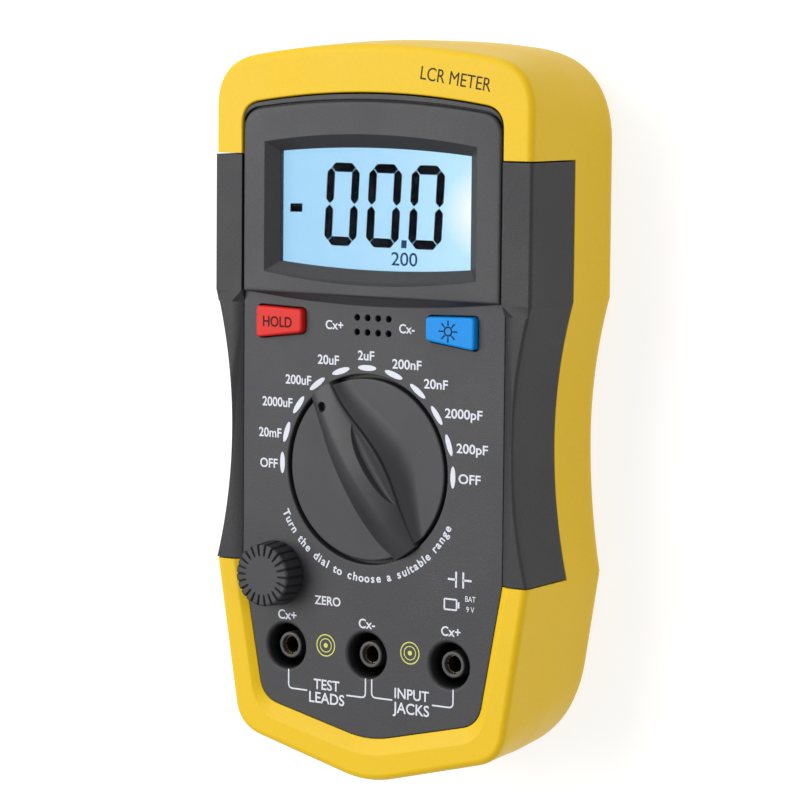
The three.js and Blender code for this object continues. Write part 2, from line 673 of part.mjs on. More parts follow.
// ---------- board and its components ----------
function mainBoard() {
  const low = BOARD_TOP_Z - BOARD_THICKNESS;
  const half = [[34.4, 65.5], [34.4, -36], [33.4, -64.5]];
  const right = half.map(([x, y]) => new THREE.Vector2(x, y)).reverse();
  const left = half.map(([x, y]) => new THREE.Vector2(-x, y));
  const plate = prism([...right, ...left], low, BOARD_TOP_Z);
  const holes = [
    ...JACK.xs.map((x) => rod(x, JACK.y, JACK.tube + 0.4, 20, 35, 20)),
    ...BOARD_SCREWS.map(([x, y]) => rod(x, y, 1.5, 20, 35, 10)),
    ...CASE_SCREWS.map(([x, y]) => rod(x, y, 3.8, 20, 35, 14)),
  ];
  return cut(plate, ...holes);
}

function testSocket() {
  const body = block(SOCKET.x - 7, SOCKET.x + 7, SOCKET.y - 4, SOCKET.y + 4, 31, PLATE_BOTTOM_Z - GAP);
  return cut(body, ...socketHoles(SOCKET.hole, 30, 40));
}

function testContact(side) {
  const x = SOCKET.x + side * 3.6;
  return block(x - 2.8, x + 2.8, SOCKET.y - 3.4, SOCKET.y + 3.4, BOARD_TOP_Z + GAP, 31 - GAP);
}

const FUSE = { x: 17, y: -45.8, z: 32.6, halfLength: 10, radius: 2.6 };

function fuse() {
  const { x, y, z, halfLength, radius } = FUSE;
  return rodAlongX(x - halfLength, x + halfLength, y, z, radius, 16);
}

function fuseClip(side) {
  const x = FUSE.x + side * 7.6;
  const body = block(x - 1.8, x + 1.8, FUSE.y - 3.6, FUSE.y + 3.6, BOARD_TOP_Z + GAP, 34.2);
  const channel = joined(
    rodAlongX(x - 3, x + 3, FUSE.y, FUSE.z, FUSE.radius + GAP, 16),
    block(x - 3, x + 3, FUSE.y - 1.9, FUSE.y + 1.9, FUSE.z, 36),
  );
  return cut(body, channel);
}

function chip() {
  return block(-9, 9, 10, 28, BOARD_TOP_Z - BOARD_THICKNESS - 2.4, BOARD_TOP_Z - BOARD_THICKNESS - GAP);
}

function filmCapacitor(x, y) {
  return block(x - 6.5, x + 6.5, y - 3, y + 3, 15.5, BOARD_TOP_Z - BOARD_THICKNESS - GAP);
}

function screw(x, y, headLow, headRadius, shankTop, shankRadius) {
  const slotDepth = 0.9;
  const head = rod(x, y, headRadius, headLow, headLow + 1.9, 16);
  const slotX = block(x - 1.7, x + 1.7, y - 0.35, y + 0.35, headLow - 1, headLow + slotDepth);
  const slotY = block(x - 0.35, x + 0.35, y - 1.7, y + 1.7, headLow - 1, headLow + slotDepth);
  return joined(cut(head, slotX, slotY), rod(x, y, shankRadius, headLow + 1.5, shankTop, 10));
}

function boardScrew(x, y) {
  const headTop = BOARD_TOP_Z - BOARD_THICKNESS - GAP;
  return joined(rod(x, y, 2.4, headTop - 1.6, headTop, 12), rod(x, y, 1, headTop - 0.5, 34, 8));
}

// ---------- power ----------
function battery() {
  const { x, y, z, sizeX, sizeY, sizeZ } = BATTERY;
  return block(x - sizeX / 2, x + sizeX / 2, y - sizeY / 2, y + sizeY / 2, z - sizeZ / 2, z + sizeZ / 2);
}

function batterySnap() {
  const x0 = BATTERY.x + BATTERY.sizeX / 2 + GAP;
  return block(x0, x0 + 3.2, BATTERY.y - 12, BATTERY.y + 12, BATTERY.z - 7.5, BATTERY.z + 7.5);
}

function batteryWire(offset) {
  const startX = BATTERY.x + BATTERY.sizeX / 2 + GAP + 3.2 + GAP + 0.7;
  const points = [
    new THREE.Vector3(startX, WELL.y0 + 10 + offset, 16),
    new THREE.Vector3(startX, WELL.y0 + 5 + offset * 0.6, 19),
    new THREE.Vector3(startX, WELL.y0 + 4.4 + offset * 0.5, 23),
    new THREE.Vector3(startX, WELL.y0 + 4.3 + offset * 0.5, BOARD_TOP_Z - BOARD_THICKNESS - GAP),
  ];
  const path = new THREE.CatmullRomCurve3(points);
  return toSolid(new THREE.ExtrudeGeometry(roundSection(0.65, 8), { steps: 14, extrudePath: path }));
}

function batteryCover() {
  const body = block(COVER.x0, COVER.x1, COVER.y0, COVER.y1, 0, COVER.thickness);
  const hole = rod(BATTERY.x, COVER.y0 + 2, 1.5, -1, 5, 12);
  const countersink = rod(BATTERY.x, COVER.y0 + 2, 1.7, -1, 1.2, 14);
  return cut(body, hole, countersink);
}

// ---------- tilt stand ----------
function tiltStand() {
  const { halfX, axisY, axisZ, endY, low, high, pin } = STAND;
  const plate = block(-halfX, halfX, endY, axisY, low, high);
  const roundEnd = rodAlongX(-halfX, halfX, axisY, axisZ, (high - low) / 2, 16);
  const pins = rodAlongX(-halfX - 2.2, halfX + 2.2, axisY, axisZ, pin, 14);
  const window = block(-halfX + 11, halfX - 11, endY + 14, axisY - 14, -1, 8);
  return cut(joined(plate, roundEnd, pins), window);
}

// ---------- assembly ----------
const meter = new THREE.Group();

function place(name, solid, material, parent = meter) {
  const mesh = new THREE.Mesh(toGeometry(solid), material);
  mesh.name = name;
  parent.add(mesh);
  return mesh;
}

place('rear_case', rearCase(), YELLOW);
place('front_case', frontCase(), GREY);
place('left_grip', grip(-1), GRIP_GREY);
place('right_grip', grip(1), GRIP_GREY);

place('lcd_window', lcdWindow(), CLEAR);
place('lcd_glass', lcdGlass(), LIGHT_BLUE);
place('backlight_panel', block(-28, 28, 35.5, 64, 31.2, LCD_BOTTOM_Z - GAP), WHITE);
place('lcd_holder', lcdHolder(), WHITE);
place('zebra_strip', block(-26, 26, 32.2, 34.6, BOARD_TOP_Z + GAP, LCD_BOTTOM_Z - GAP), BLACK);

const rangeSwitch = new THREE.Group();
rangeSwitch.position.set(DIAL.x, DIAL.y, 0);
rangeSwitch.rotation.z = THREE.MathUtils.degToRad(DIAL.restAngle);
meter.add(rangeSwitch);
place('range_knob', rangeKnob(), GREY, rangeSwitch);
place('switch_rotor', switchRotor(), WHITE, rangeSwitch);
for (const [i, angle] of [30, 150, 270].entries()) {
  place(`wiper_contact_${i + 1}`, wiperContact(angle), BRASS, rangeSwitch);
}
for (const [i, turn] of [0, Math.PI].entries()) {
  place(`detent_spring_${i + 1}`, detentSpring(turn), STEEL, rangeSwitch);
  place(`detent_ball_${i + 1}`, detentBall(turn), STEEL, rangeSwitch);
}

const zeroControl = new THREE.Group();
zeroControl.position.set(ZERO.x, ZERO.y, 0);
meter.add(zeroControl);
place('zero_knob', zeroKnob(), GREY, zeroControl);
place('zero_shaft', rod(0, 0, 2.9, 30.6, 41.9, 16), STEEL, zeroControl);
place('zero_pot_body', zeroPotBody(), BLACK, zeroControl);

for (const [name, side, colour] of [['hold', -1, RED], ['backlight', 1, BLUE]]) {
  place(`${name}_button`, pushButton(side), colour);
  place(`${name}_switch_body`, switchBody(side), BLACK);
  place(`${name}_switch_plunger`, switchPlunger(side), WHITE);
}

for (const [i, x] of JACK.xs.entries()) {
  place(`jack_insulator_${i + 1}`, jackInsulator(x), BLACK);
  place(`jack_socket_${i + 1}`, jackSocket(x), BRASS);
}
place('test_socket', testSocket(), BLACK);
place('test_contact_plus', testContact(-1), BRASS);
place('test_contact_minus', testContact(1), BRASS);

place('main_board', mainBoard(), BOARD_GREEN);
place('main_chip', chip(), BLACK);
place('film_capacitor_1', filmCapacitor(-16, -30), YELLOW);
place('film_capacitor_2', filmCapacitor(14, -30), YELLOW);
place('fuse', fuse(), STEEL);
place('fuse_clip_1', fuseClip(-1), BRASS);
place('fuse_clip_2', fuseClip(1), BRASS);

place('battery', battery(), BLACK);
place('battery_snap', batterySnap(), BLACK);
place('battery_wire_red', batteryWire(2.3), RED_WIRE);
place('battery_wire_black', batteryWire(-2.3), BLACK);
place('battery_cover', batteryCover(), YELLOW);
place('battery_cover_screw', screw(BATTERY.x, COVER.y0 + 2, 0.1, 1.4, 4.2, 1.1), STEEL);

for (const [i, [x, y]] of CASE_SCREWS.entries()) {
  place(`case_screw_${i + 1}`, screw(x, y, 1, 2.9, 22, 1.4), STEEL);
}
for (const [i, [x, y]] of BOARD_SCREWS.entries()) {
  place(`board_screw_${i + 1}`, boardScrew(x, y), STEEL);
}
place('tilt_stand', tiltStand(), BLACK);

export default meter;
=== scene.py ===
"""The look of the capacitance meter: detailed pieces, materials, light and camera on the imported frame."""

import json
from math import cos, pi, radians, sin

import bmesh
import bpy
import numpy as np
from mathutils import Matrix, Vector


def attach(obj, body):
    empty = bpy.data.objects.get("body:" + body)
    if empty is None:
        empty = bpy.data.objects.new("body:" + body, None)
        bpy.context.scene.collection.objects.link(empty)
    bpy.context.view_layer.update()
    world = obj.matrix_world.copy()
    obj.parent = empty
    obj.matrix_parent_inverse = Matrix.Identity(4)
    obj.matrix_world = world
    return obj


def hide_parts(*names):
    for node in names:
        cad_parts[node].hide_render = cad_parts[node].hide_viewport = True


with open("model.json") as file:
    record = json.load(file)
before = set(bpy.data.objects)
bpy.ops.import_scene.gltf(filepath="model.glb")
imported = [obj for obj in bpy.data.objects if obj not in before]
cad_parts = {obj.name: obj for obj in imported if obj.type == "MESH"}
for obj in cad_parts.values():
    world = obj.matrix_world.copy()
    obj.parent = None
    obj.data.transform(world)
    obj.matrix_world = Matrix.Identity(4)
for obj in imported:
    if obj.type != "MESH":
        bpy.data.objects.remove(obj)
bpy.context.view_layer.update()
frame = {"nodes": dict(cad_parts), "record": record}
scene = bpy.context.scene

# ---- dimensions, millimetres
MM = 0.001
HALF_WIDTH = 45.0
TOP_Y = 89.0
CHIN_Y = -89.6
WALL = 2.8
PARTING_Z = 20.0
PANEL_Z = 38.2
RIM_Z = PANEL_Z + 1.2
SHELF_Z = PANEL_Z + 1.5
CROWN_Z = PANEL_Z + 2.2
PLATE_BOTTOM_Z = PANEL_Z - 2.4
ARCH_RADIUS = 210.0
WAIST_TOP_Y = 28.0
WAIST_MID_Y = -5.5
WAIST_END_Y = -38.3
WAIST_DEPTH = 4.7
CHIN_SLOPE = 0.2586
SIDE_TAPER = 0.162
PANEL_HALF_WIDTH = 37.3
DISPLAY_HALF_WIDTH = 36.7
DISPLAY_TOP_Y = 76.2
GRIP_TOP_Y = 61.0
DIAL_X, DIAL_Y = -1.1, -13.5
DIAL_TURN = radians(126)
JACKS = ((-24.2, 1), (-0.7, 2), (22.8, 3))
JACK_Y = -58.5
ZERO_X, ZERO_Y = -27.2, -40.7
SOCKET_X, SOCKET_Y = 0.4, 21.2
CASE_SCREWS = ((-33, 69.5), (33, 69.5), (-27.5, -69.5), (27.5, -69.5))
BOARD_POSTS = ((-31, 6), (31, 6), (-7, -46.3))
HINGE_Y, HINGE_Z = 17, 2.2


# ---- mesh tools
def linked(data):
    obj = bpy.data.objects.new("work", data)
    scene.collection.objects.link(obj)
    return obj


def new_object(verts, faces):
    mesh = bpy.data.meshes.new("work")
    mesh.from_pydata([tuple(map(float, v)) for v in verts], [], faces)
    mesh.update()
    return linked(mesh)


def loft(rings, closed=False):
    """Rings of equal length joined one to the next; capped at both ends unless closed into a loop."""
    count = len(rings[0])
    verts = np.concatenate([np.asarray(r, float) for r in rings])
    faces = []
    levels = len(rings)
    for level in range(levels if closed else levels - 1):
        low = level * count
        high = ((level + 1) % levels) * count
        for i in range(count):
            j = (i + 1) % count
            faces.append((low + i, low + j, high + j, high + i))
    if not closed:
        faces.append(tuple(range(count - 1, -1, -1)))
        faces.append(tuple((levels - 1) * count + i for i in range(count)))
    obj = new_object(verts, faces)
    work = bmesh.new()
    work.from_mesh(obj.data)
    bmesh.ops.recalc_face_normals(work, faces=work.faces)
    work.to_mesh(obj.data)
    work.free()
    return obj


def at_height(points, z):
    points = np.asarray(points, float)
    return np.column_stack([points[:, 0], points[:, 1], np.full(len(points), float(z))])


def stack(*levels, closed=False):
    """Outlines at their heights, lofted together."""
    return loft([at_height(points, z) for points, z in levels], closed)


def box(x0, x1, y0, y1, z0, z1, edge=0.0):
    """A block; edge rounds its upright and level edges alike."""
    obj = loft([at_height([(x0, y0), (x1, y0), (x1, y1), (x0, y1)], z) for z in (z0, z1)])
    if edge:
        bevel = obj.modifiers.new("edge", "BEVEL")
        bevel.width = edge
        bevel.segments = 3
        bevel.limit_method = "ANGLE"
        bake(obj)
    return obj


def crossed(x, y, arm, half, z0, z1):
    """Two blocks that cross at x, y."""
    return [box(x - a, x + a, y - b, y + b, z0, z1) for a, b in ((arm, half), (half, arm))]


def circle(radius, sides, x=0.0, y=0.0):
    angles = np.arange(sides) * 2 * pi / sides
    return np.column_stack([x + radius * np.cos(angles), y + radius * np.sin(angles)])


def turned(profile, x=0.0, y=0.0, sides=64, closed=False):
    """A profile of (radius, height) pairs turned about a standing axis."""
    return loft([at_height(circle(r, sides, x, y), z) for r, z in profile], closed)


def pin(radius, z0, z1, x=0.0, y=0.0, sides=24):
    return turned([(radius, z0), (radius, z1)], x, y, sides)


def quarter(steps, first=0):
    """The sine, and one minus the cosine, at even steps of a right angle: the rounding of an edge."""
    turns = [i / steps * pi / 2 for i in range(first, steps + 1)]
    return [(sin(turn), 1 - cos(turn)) for turn in turns]


def flared(radius, top, flare, low=10.0, x=0.0, y=0.0, sides=64):
    """A cutter for a round hole whose mouth at height top is rounded over by flare."""
    profile = [(radius, low)]
    for up, over in quarter(5):
        profile.append((radius + flare * over, top - flare * (1 - up)))
    profile.append((radius + flare, top + 8))
    return turned(profile, x, y, sides)


def evaluated_mesh(obj):
    graph = bpy.context.evaluated_depsgraph_get()
    graph.update()
    return bpy.data.meshes.new_from_object(obj.evaluated_get(graph))


def bake(obj):
    """Applies the modifiers on obj."""
    mesh = evaluated_mesh(obj)
    obj.modifiers.clear()
    old = obj.data
    obj.data = mesh
    bpy.data.meshes.remove(old)


def combine(obj, others, operation="DIFFERENCE"):
    for other in others:
        step = obj.modifiers.new("combine", "BOOLEAN")
        step.operation = operation
        step.solver = "MANIFOLD"
        step.object = other
    bake(obj)
    for other in others:
        bpy.data.objects.remove(other)
    return obj


def carve(obj, *tools):
    return combine(obj, tools)


def add(obj, *others):
    return combine(obj, others, "UNION")


def keep(obj, other):
    return combine(obj, [other], "INTERSECT")


def pulled(items, attribute, width=1, kind=np.float32):
    values = np.empty(len(items) * width, kind)
    items.foreach_get(attribute, values)
    return values.reshape(-1, width) if width > 1 else values


def even_shading(mesh, sharp):
    """Smooth shading in which every face that squarely faces an axis stays perfectly flat."""
    mesh.shade_smooth()
    mesh.set_sharp_from_angle(angle=radians(sharp))
    normals = pulled(mesh.corner_normals, "vector", 3)
    vertex = pulled(mesh.loops, "vertex_index", kind=np.int32)
    sizes = pulled(mesh.polygons, "loop_total", kind=np.int32)
    face_normals = np.repeat(pulled(mesh.polygons, "normal", 3), sizes, axis=0)
    corners = pulled(mesh.vertices, "co", 3)[vertex]
    starts = np.concatenate([[0], np.cumsum(sizes)[:-1]])
    spread = np.maximum.reduceat(corners, starts) - np.minimum.reduceat(corners, starts)
    level = np.repeat(spread < 2e-6, sizes, axis=0)
    for side in range(3):
        for sign in (1.0, -1.0):
            facing = face_normals[:, side] * sign
            touches = np.zeros(len(mesh.vertices), bool)
            touches[vertex[facing > 0.99999]] = True
            near = touches[vertex] & (level[:, side] | (facing > cos(radians(sharp))))
            normals[near & (facing > -0.5)] = np.eye(3)[side] * sign
    mesh.normals_split_custom_set(normals.tolist())


def finish_piece(obj, name, body, material, stands_for=(), sharp=32.0):
    """Scales a millimetre mesh to metres, shades it, gives it a finish and puts it on its body."""
    obj.name = name
    obj.data.name = name
    obj.data.transform(Matrix.Scale(MM, 4))
    even_shading(obj.data, sharp)
    obj.data.materials.clear()
    obj.data.materials.append(material)
    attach(obj, body)
    if stands_for:
        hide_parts(*stands_for)


# ---- outlines
def bend(start, corner, end, steps):
    t = np.linspace(0, 1, steps)[:, None]
    start, corner, end = (np.asarray(p, float) for p in (start, corner, end))
    return (1 - t) ** 2 * start + 2 * t * (1 - t) * corner + t**2 * end


def mirrored(half):
    """A right half, from top centre to bottom centre, made into a whole anticlockwise outline."""
    half = np.asarray(half, float)
    left = half[1:-1][::-1] * [-1, 1]
    return np.concatenate([half, left])[::-1]


def tangents(points):
    tangent = np.roll(points, -1, axis=0) - np.roll(points, 1, axis=0)
    return tangent / np.linalg.norm(tangent, axis=1)[:, None]


def inset(points, distance):
    tangent = tangents(points)
    distance = np.asarray(distance, float)
    if distance.ndim:
        distance = distance[:, None]
    return points + np.column_stack([-tangent[:, 1], tangent[:, 0]]) * distance


def arched_top(top_y, half_width, corner, steps, corner_steps):
    """The right half of a bowed top edge, from its middle round the corner to where the side starts."""
    reach = half_width - corner
    half = [(x, top_y - x * x / (2 * ARCH_RADIUS)) for x in np.linspace(0, reach, steps)[:-1]]
    end = (reach, top_y - reach**2 / (2 * ARCH_RADIUS))
    apex = (half_width, end[1] - reach * corner / ARCH_RADIUS)
    half.extend(bend(end, apex, (half_width, apex[1] - corner), corner_steps))
    return half


def side_half_width(y, hip):
    if y >= WAIST_TOP_Y:
        return HALF_WIDTH
    narrow = HALF_WIDTH - WAIST_DEPTH
    if y >= WAIST_MID_Y:
        t = (y - WAIST_MID_Y) / (WAIST_TOP_Y - WAIST_MID_Y)
        return HALF_WIDTH - WAIST_DEPTH * (1 - t * t)
    t = (WAIST_MID_Y - y) / (WAIST_MID_Y - WAIST_END_Y)
    return narrow + (hip - narrow) * t * t


def case_outline(top_y, top_corner, chin_corner, hip):
    half = arched_top(top_y, HALF_WIDTH, top_corner, 20, 22)
    for y in np.linspace(half[-1][1], WAIST_TOP_Y, 10)[1:-1]:
        half.append((HALF_WIDTH, y))
    for y in np.linspace(WAIST_TOP_Y, WAIST_END_Y, 44):
        half.append((side_half_width(y, hip), y))
    corner_y = (CHIN_Y + CHIN_SLOPE * (hip - SIDE_TAPER * WAIST_END_Y)) / (1 - CHIN_SLOPE * SIDE_TAPER)
    corner = (hip + SIDE_TAPER * (corner_y - WAIST_END_Y), corner_y)
    start_y = corner_y + chin_corner
    start = (hip + SIDE_TAPER * (start_y - WAIST_END_Y), start_y)
    end = (corner[0] - chin_corner, corner[1] - CHIN_SLOPE * chin_corner)
    for t in np.linspace(0, 1, 6)[1:-1]:
        half.append((hip + (start[0] - hip) * t, WAIST_END_Y + (start_y - WAIST_END_Y) * t))
    half.extend(bend(start, corner, end, 16))
    for x in np.linspace(end[0], 7, 8)[1:-1]:
        half.append((x, CHIN_Y + CHIN_SLOPE * x))
    half.extend(bend((7, CHIN_Y + CHIN_SLOPE * 7), (0, CHIN_Y), (-7, CHIN_Y + CHIN_SLOPE * 7), 15)[:8])
    return mirrored(half)


FRONT = np.array([TOP_Y - 1.2, 10.5, 6.0, 44.7])
MIDDLE = np.array([TOP_Y, 15.0, 12.0, 44.2])
BACK = np.array([TOP_Y - 0.2, 21.0, 20.0, 43.2])


def case_ring(z, grow_in, top_z, drop=True):
    """The case's outline at height z, drawn in by grow_in; the chin's front lies lower than the top's."""
    if z < PARTING_Z:
        blend = z / PARTING_Z
        shape = BACK + (MIDDLE - BACK) * blend
    else:
        blend = (z - PARTING_Z) / (top_z - PARTING_Z)
        shape = MIDDLE + (FRONT - MIDDLE) * blend**1.3
    points = inset(case_outline(*shape), grow_in)
    ring = at_height(points, z)
    if drop:
        share = np.clip((GRIP_TOP_Y - points[:, 1]) / (GRIP_TOP_Y - WAIST_END_Y), 0, 1)
        lift = np.clip((z - PARTING_Z) / (top_z - PARTING_Z), 0, 1)
        ring[:, 2] -= share * lift * (SHELF_Z - RIM_Z)
    return ring


def case_body(top_z, edge=1.7, drop=True):
    foot = 4.2
    rings = [case_ring(foot * (1 - up), foot * over * 0.8, top_z, drop) for up, over in quarter(6)][::-1]
    for z in np.linspace(foot, top_z - edge, 14)[1:]:
        rings.append(case_ring(z, 0, top_z, drop))
    for up, over in quarter(7, 1):
        rings.append(case_ring(top_z - edge + edge * up, edge * over, top_z, drop))
    return loft(rings)


def panel_outline(grow=0.0):
    half = arched_top(DISPLAY_TOP_Y, DISPLAY_HALF_WIDTH, 4.5, 16, 12)
    half.append((DISPLAY_HALF_WIDTH, WAIST_TOP_Y + 0.1))
    half.append((PANEL_HALF_WIDTH, WAIST_TOP_Y - 0.1))
    half.append((PANEL_HALF_WIDTH, WAIST_END_Y))
    corner, vertex_y = (31.1, -71.9), -79.2
    rise = (corner[1] - vertex_y) / corner[0]
    run = (PANEL_HALF_WIDTH - corner[0]) / (WAIST_END_Y - corner[1])
    reach = 4.5
    upper = (corner[0] + run * reach, corner[1] + reach)
    half.extend(bend(upper, corner, (corner[0] - reach, corner[1] - rise * reach), 14))
    for x in (20, 12):
        half.append((x, vertex_y + rise * x))
    half.extend(bend((6, vertex_y + rise * 6), (0, vertex_y), (-6, vertex_y + rise * 6), 11)[:6])
    outline = mirrored(half)
    return inset(outline, -np.asarray(grow)) if np.any(grow) else outline


def prism(points, z0, z1):
    return stack((points, z0), (points, z1))


def rounded_polygon(corners, radius, steps=7):
    corners = [np.asarray(c, float) for c in corners]
    points = []
    for i, corner in enumerate(corners):
        before, after = corners[i - 1], corners[(i + 1) % len(corners)]
        to_before = (before - corner) / np.linalg.norm(before - corner)
        to_after = (after - corner) / np.linalg.norm(after - corner)
        points.extend(bend(corner + to_before * radius, corner, corner + to_after * radius, steps))
    return np.array(points)


# ---- materials
def preset(made, values):
    """Sets sockets by name, with underscores for spaces, and anything else as a property of the node."""
    for key, value in values.items():
        socket = key.replace("_", " ")
        if socket in made.inputs:
            made.inputs[socket].default_value = value
        else:
            setattr(made, key, value)
    return made


def nodes_of(name, **values):
    material = bpy.data.materials.new(name)
    material.use_nodes = True
    tree = material.node_tree
    return material, tree, preset(tree.nodes["Principled BSDF"], values)


def node(tree, kind, **values):
    return preset(tree.nodes.new(kind), values)


def link(tree, source, output, target, socket):
    tree.links.new(source.outputs[output], target.inputs[socket])


def ramp(tree, source, output, stops):
    made = tree.nodes.new("ShaderNodeValToRGB")
    link(tree, source, output, made, "Fac")
    elements = made.color_ramp.elements
    while len(elements) < len(stops):
        elements.new(0.5)
    for element, (position, colour) in zip(elements, stops):
        element.position = position
        element.color = (*colour, 1)
    return made


def graded(tree, noise, low, high, shader, socket):
    """Two (position, colour) stops along the noise, into a socket of the shader."""
    link(tree, ramp(tree, noise, "Fac", [low, high]), "Color", shader, socket)


def speckle(tree, scale, detail=4.0, **values):
    """Noise in the object's own space."""
    noise = node(tree, "ShaderNodeTexNoise", Scale=scale, Detail=detail, **values)
    link(tree, node(tree, "ShaderNodeTexCoord"), "Object", noise, "Vector")
    return noise


def scaled(colour, factor):
    return tuple(min(1.0, c * factor) for c in colour)


EDGE_SOFTNESS = 0.00025


def moulded(name, colour, roughness, grain, grain_depth, variation, specular=0.5, edge_highlight=0.0):
    """Moulded plastic: fine grain, slight unevenness of colour and gloss, and paler edges that are a painted
    edge highlight.
    """
    material, tree, shader = nodes_of(name, Specular_IOR_Level=specular)
    broad = speckle(tree, 45.0, 5.0, Roughness=0.6)
    fine = speckle(tree, grain, 3.0, Roughness=0.65)
    darker, lighter = scaled(colour, 1 - variation), scaled(colour, 1 + variation)
    base = ramp(tree, broad, "Fac", [(0.3, darker), (0.7, lighter)])
    specks = ramp(tree, fine, "Fac", [(0.35, (1 - 2.2 * variation,) * 3), (0.65, (1 + variation,) * 3)])
    mixed = node(tree, "ShaderNodeMix", data_type="RGBA", blend_type="MULTIPLY")
    mixed.inputs[0].default_value = 1.0
    link(tree, base, 0, mixed, 6)
    link(tree, specks, 0, mixed, 7)
    soft = node(tree, "ShaderNodeBevel", samples=4, Radius=EDGE_SOFTNESS)
    # Painted highlight: where the rounded normal turns away from the face normal, the colour is made paler to
    # stand in for light caught on the edges.
    if edge_highlight:
        face = node(tree, "ShaderNodeNewGeometry")
        turn = node(tree, "ShaderNodeVectorMath", operation="DOT_PRODUCT")
        link(tree, soft, "Normal", turn, 0)
        link(tree, face, "Normal", turn, 1)
        highlight_mask = ramp(tree, turn, "Value", [(0.80, (1, 1, 1)), (0.97, (0, 0, 0))])
        highlighted = node(tree, "ShaderNodeMix", data_type="RGBA")
        highlighted.inputs[7].default_value = (*scaled(colour, 1 + edge_highlight), 1)
        link(tree, mixed, 2, highlighted, 6)
        link(tree, highlight_mask, 0, highlighted, 0)
        mixed = highlighted
    link(tree, mixed, 2, shader, "Base Color")
    graded(tree, broad, (0.3, (roughness - 0.05,) * 3), (0.7, (roughness + 0.05,) * 3), shader, "Roughness")
    bump = node(tree, "ShaderNodeBump", Strength=grain_depth, Distance=0.0001)
    link(tree, fine, "Fac", bump, "Height")
    link(tree, soft, "Normal", bump, "Normal")
    link(tree, bump, "Normal", shader, "Normal")
    return material


def metal(name, colour, roughness, scale=900.0):
    material, tree, shader = nodes_of(name, Metallic=1.0)
    noise = speckle(tree, scale)
    graded(tree, noise, (0.3, scaled(colour, 0.85)), (0.7, scaled(colour, 1.08)), shader, "Base Color")
    graded(tree, noise, (0.3, (roughness - 0.06,) * 3), (0.7, (roughness + 0.08,) * 3), shader, "Roughness")
    bump = node(tree, "ShaderNodeBump", Strength=0.1, Distance=0.0001)
    link(tree, noise, "Fac", bump, "Height")
    link(tree, bump, "Normal", shader, "Normal")
    return material


def ink(name, colour, roughness=0.45, specular=0.4):
    material, tree, shader = nodes_of(name, Specular_IOR_Level=specular, Roughness=roughness)
    noise = speckle(tree, 1800.0, 3.0)
    graded(tree, noise, (0.3, scaled(colour, 0.94)), (0.65, colour), shader, "Base Color")
    return material


def clear_plastic(name):
    material, tree, shader = nodes_of(name, Transmission_Weight=1.0, IOR=1.05, Specular_IOR_Level=0.02)
    noise = speckle(tree, 60.0)
    graded(tree, noise, (0.4, (0.01,) * 3), (0.7, (0.03,) * 3), shader, "Roughness")
    graded(tree, noise, (0.3, (0.97, 0.985, 1.0)), (0.7, (1.0, 1.0, 1.0)), shader, "Base Color")
    return material


def lit_cell(name):
    """The liquid crystal cell: pale blue, lit from its right-hand edge."""
    material, tree, shader = nodes_of(
        name, Emission_Strength=0.99, Specular_IOR_Level=0.05, Base_Color=(0.02, 0.03, 0.04, 1), Roughness=0.3
    )
    place = node(tree, "ShaderNodeTexCoord")
    split = node(tree, "ShaderNodeSeparateXYZ")
    link(tree, place, "Object", split, "Vector")
    across = node(tree, "ShaderNodeMapRange", From_Min=-0.0275, From_Max=0.0275)
    link(tree, split, "X", across, "Value")
    blues = [(0.0, (0.34, 0.63, 0.88)), (0.55, (0.40, 0.69, 0.92)), (1.0, (0.50, 0.80, 0.98))]
    colour = ramp(tree, across, "Result", blues)
    lamp = node(tree, "ShaderNodeVectorMath", operation="DISTANCE")
    lamp.inputs[1].default_value = (0.0295, 0.0490, 0.0345)
    link(tree, place, "Object", lamp, 0)
    glow = ramp(tree, lamp, "Value", [(0.0, (1, 1, 1)), (0.0035, (0.8, 0.8, 0.8)), (0.012, (0, 0, 0))])
    glow.color_ramp.interpolation = "EASE"
    bright = node(tree, "ShaderNodeMix", data_type="RGBA")
    link(tree, glow, 0, bright, 0)
    link(tree, colour, 0, bright, 6)
    bright.inputs[7].default_value = (1, 1, 1, 1)
    link(tree, bright, 2, shader, "Emission Color")
    return material


YELLOW = moulded("yellow_moulding", (0.63, 0.405, 0.004), 0.46, 1500, 0.08, 0.012, 0.22)
GREY = moulded("grey_panel_moulding", (0.0215, 0.0212, 0.0242), 0.53, 2800, 0.6, 0.10, 0.45, 0.35)
GRIP = moulded("grey_grip_moulding", (0.0185, 0.0183, 0.0205), 0.56, 2400, 0.6, 0.10, 0.36, 0.3)
KNOB = moulded("grey_knob_moulding", (0.019, 0.0188, 0.0215), 0.50, 3400, 0.25, 0.05, 0.42, 0.35)
RED = moulded("red_moulding", (0.54, 0.012, 0.006), 0.48, 2000, 0.1, 0.03, 0.22)
BLUE = moulded("blue_moulding", (0.003, 0.21, 0.60), 0.48, 2000, 0.1, 0.03, 0.16)
BLACK = moulded("black_moulding", (0.012, 0.012, 0.013), 0.5, 2200, 0.3, 0.08)
POST = moulded("post_moulding", (0.035, 0.035, 0.037), 0.45, 2200, 0.2, 0.06)
WHITE = moulded("white_moulding", (0.62, 0.62, 0.60), 0.5, 1500, 0.1, 0.03)
BOARD = moulded("board_laminate", (0.02, 0.16, 0.05), 0.35, 900, 0.2, 0.15)
AMBER = moulded("capacitor_case", (0.55, 0.30, 0.03), 0.35, 900, 0.1, 0.05)
RED_SLEEVE = moulded("red_sleeve", (0.40, 0.015, 0.015), 0.5, 900, 0.1, 0.05)
BRASS = metal("spring_brass", (0.75, 0.52, 0.22), 0.28)
STEEL = metal("plated_steel", (0.58, 0.58, 0.60), 0.30)
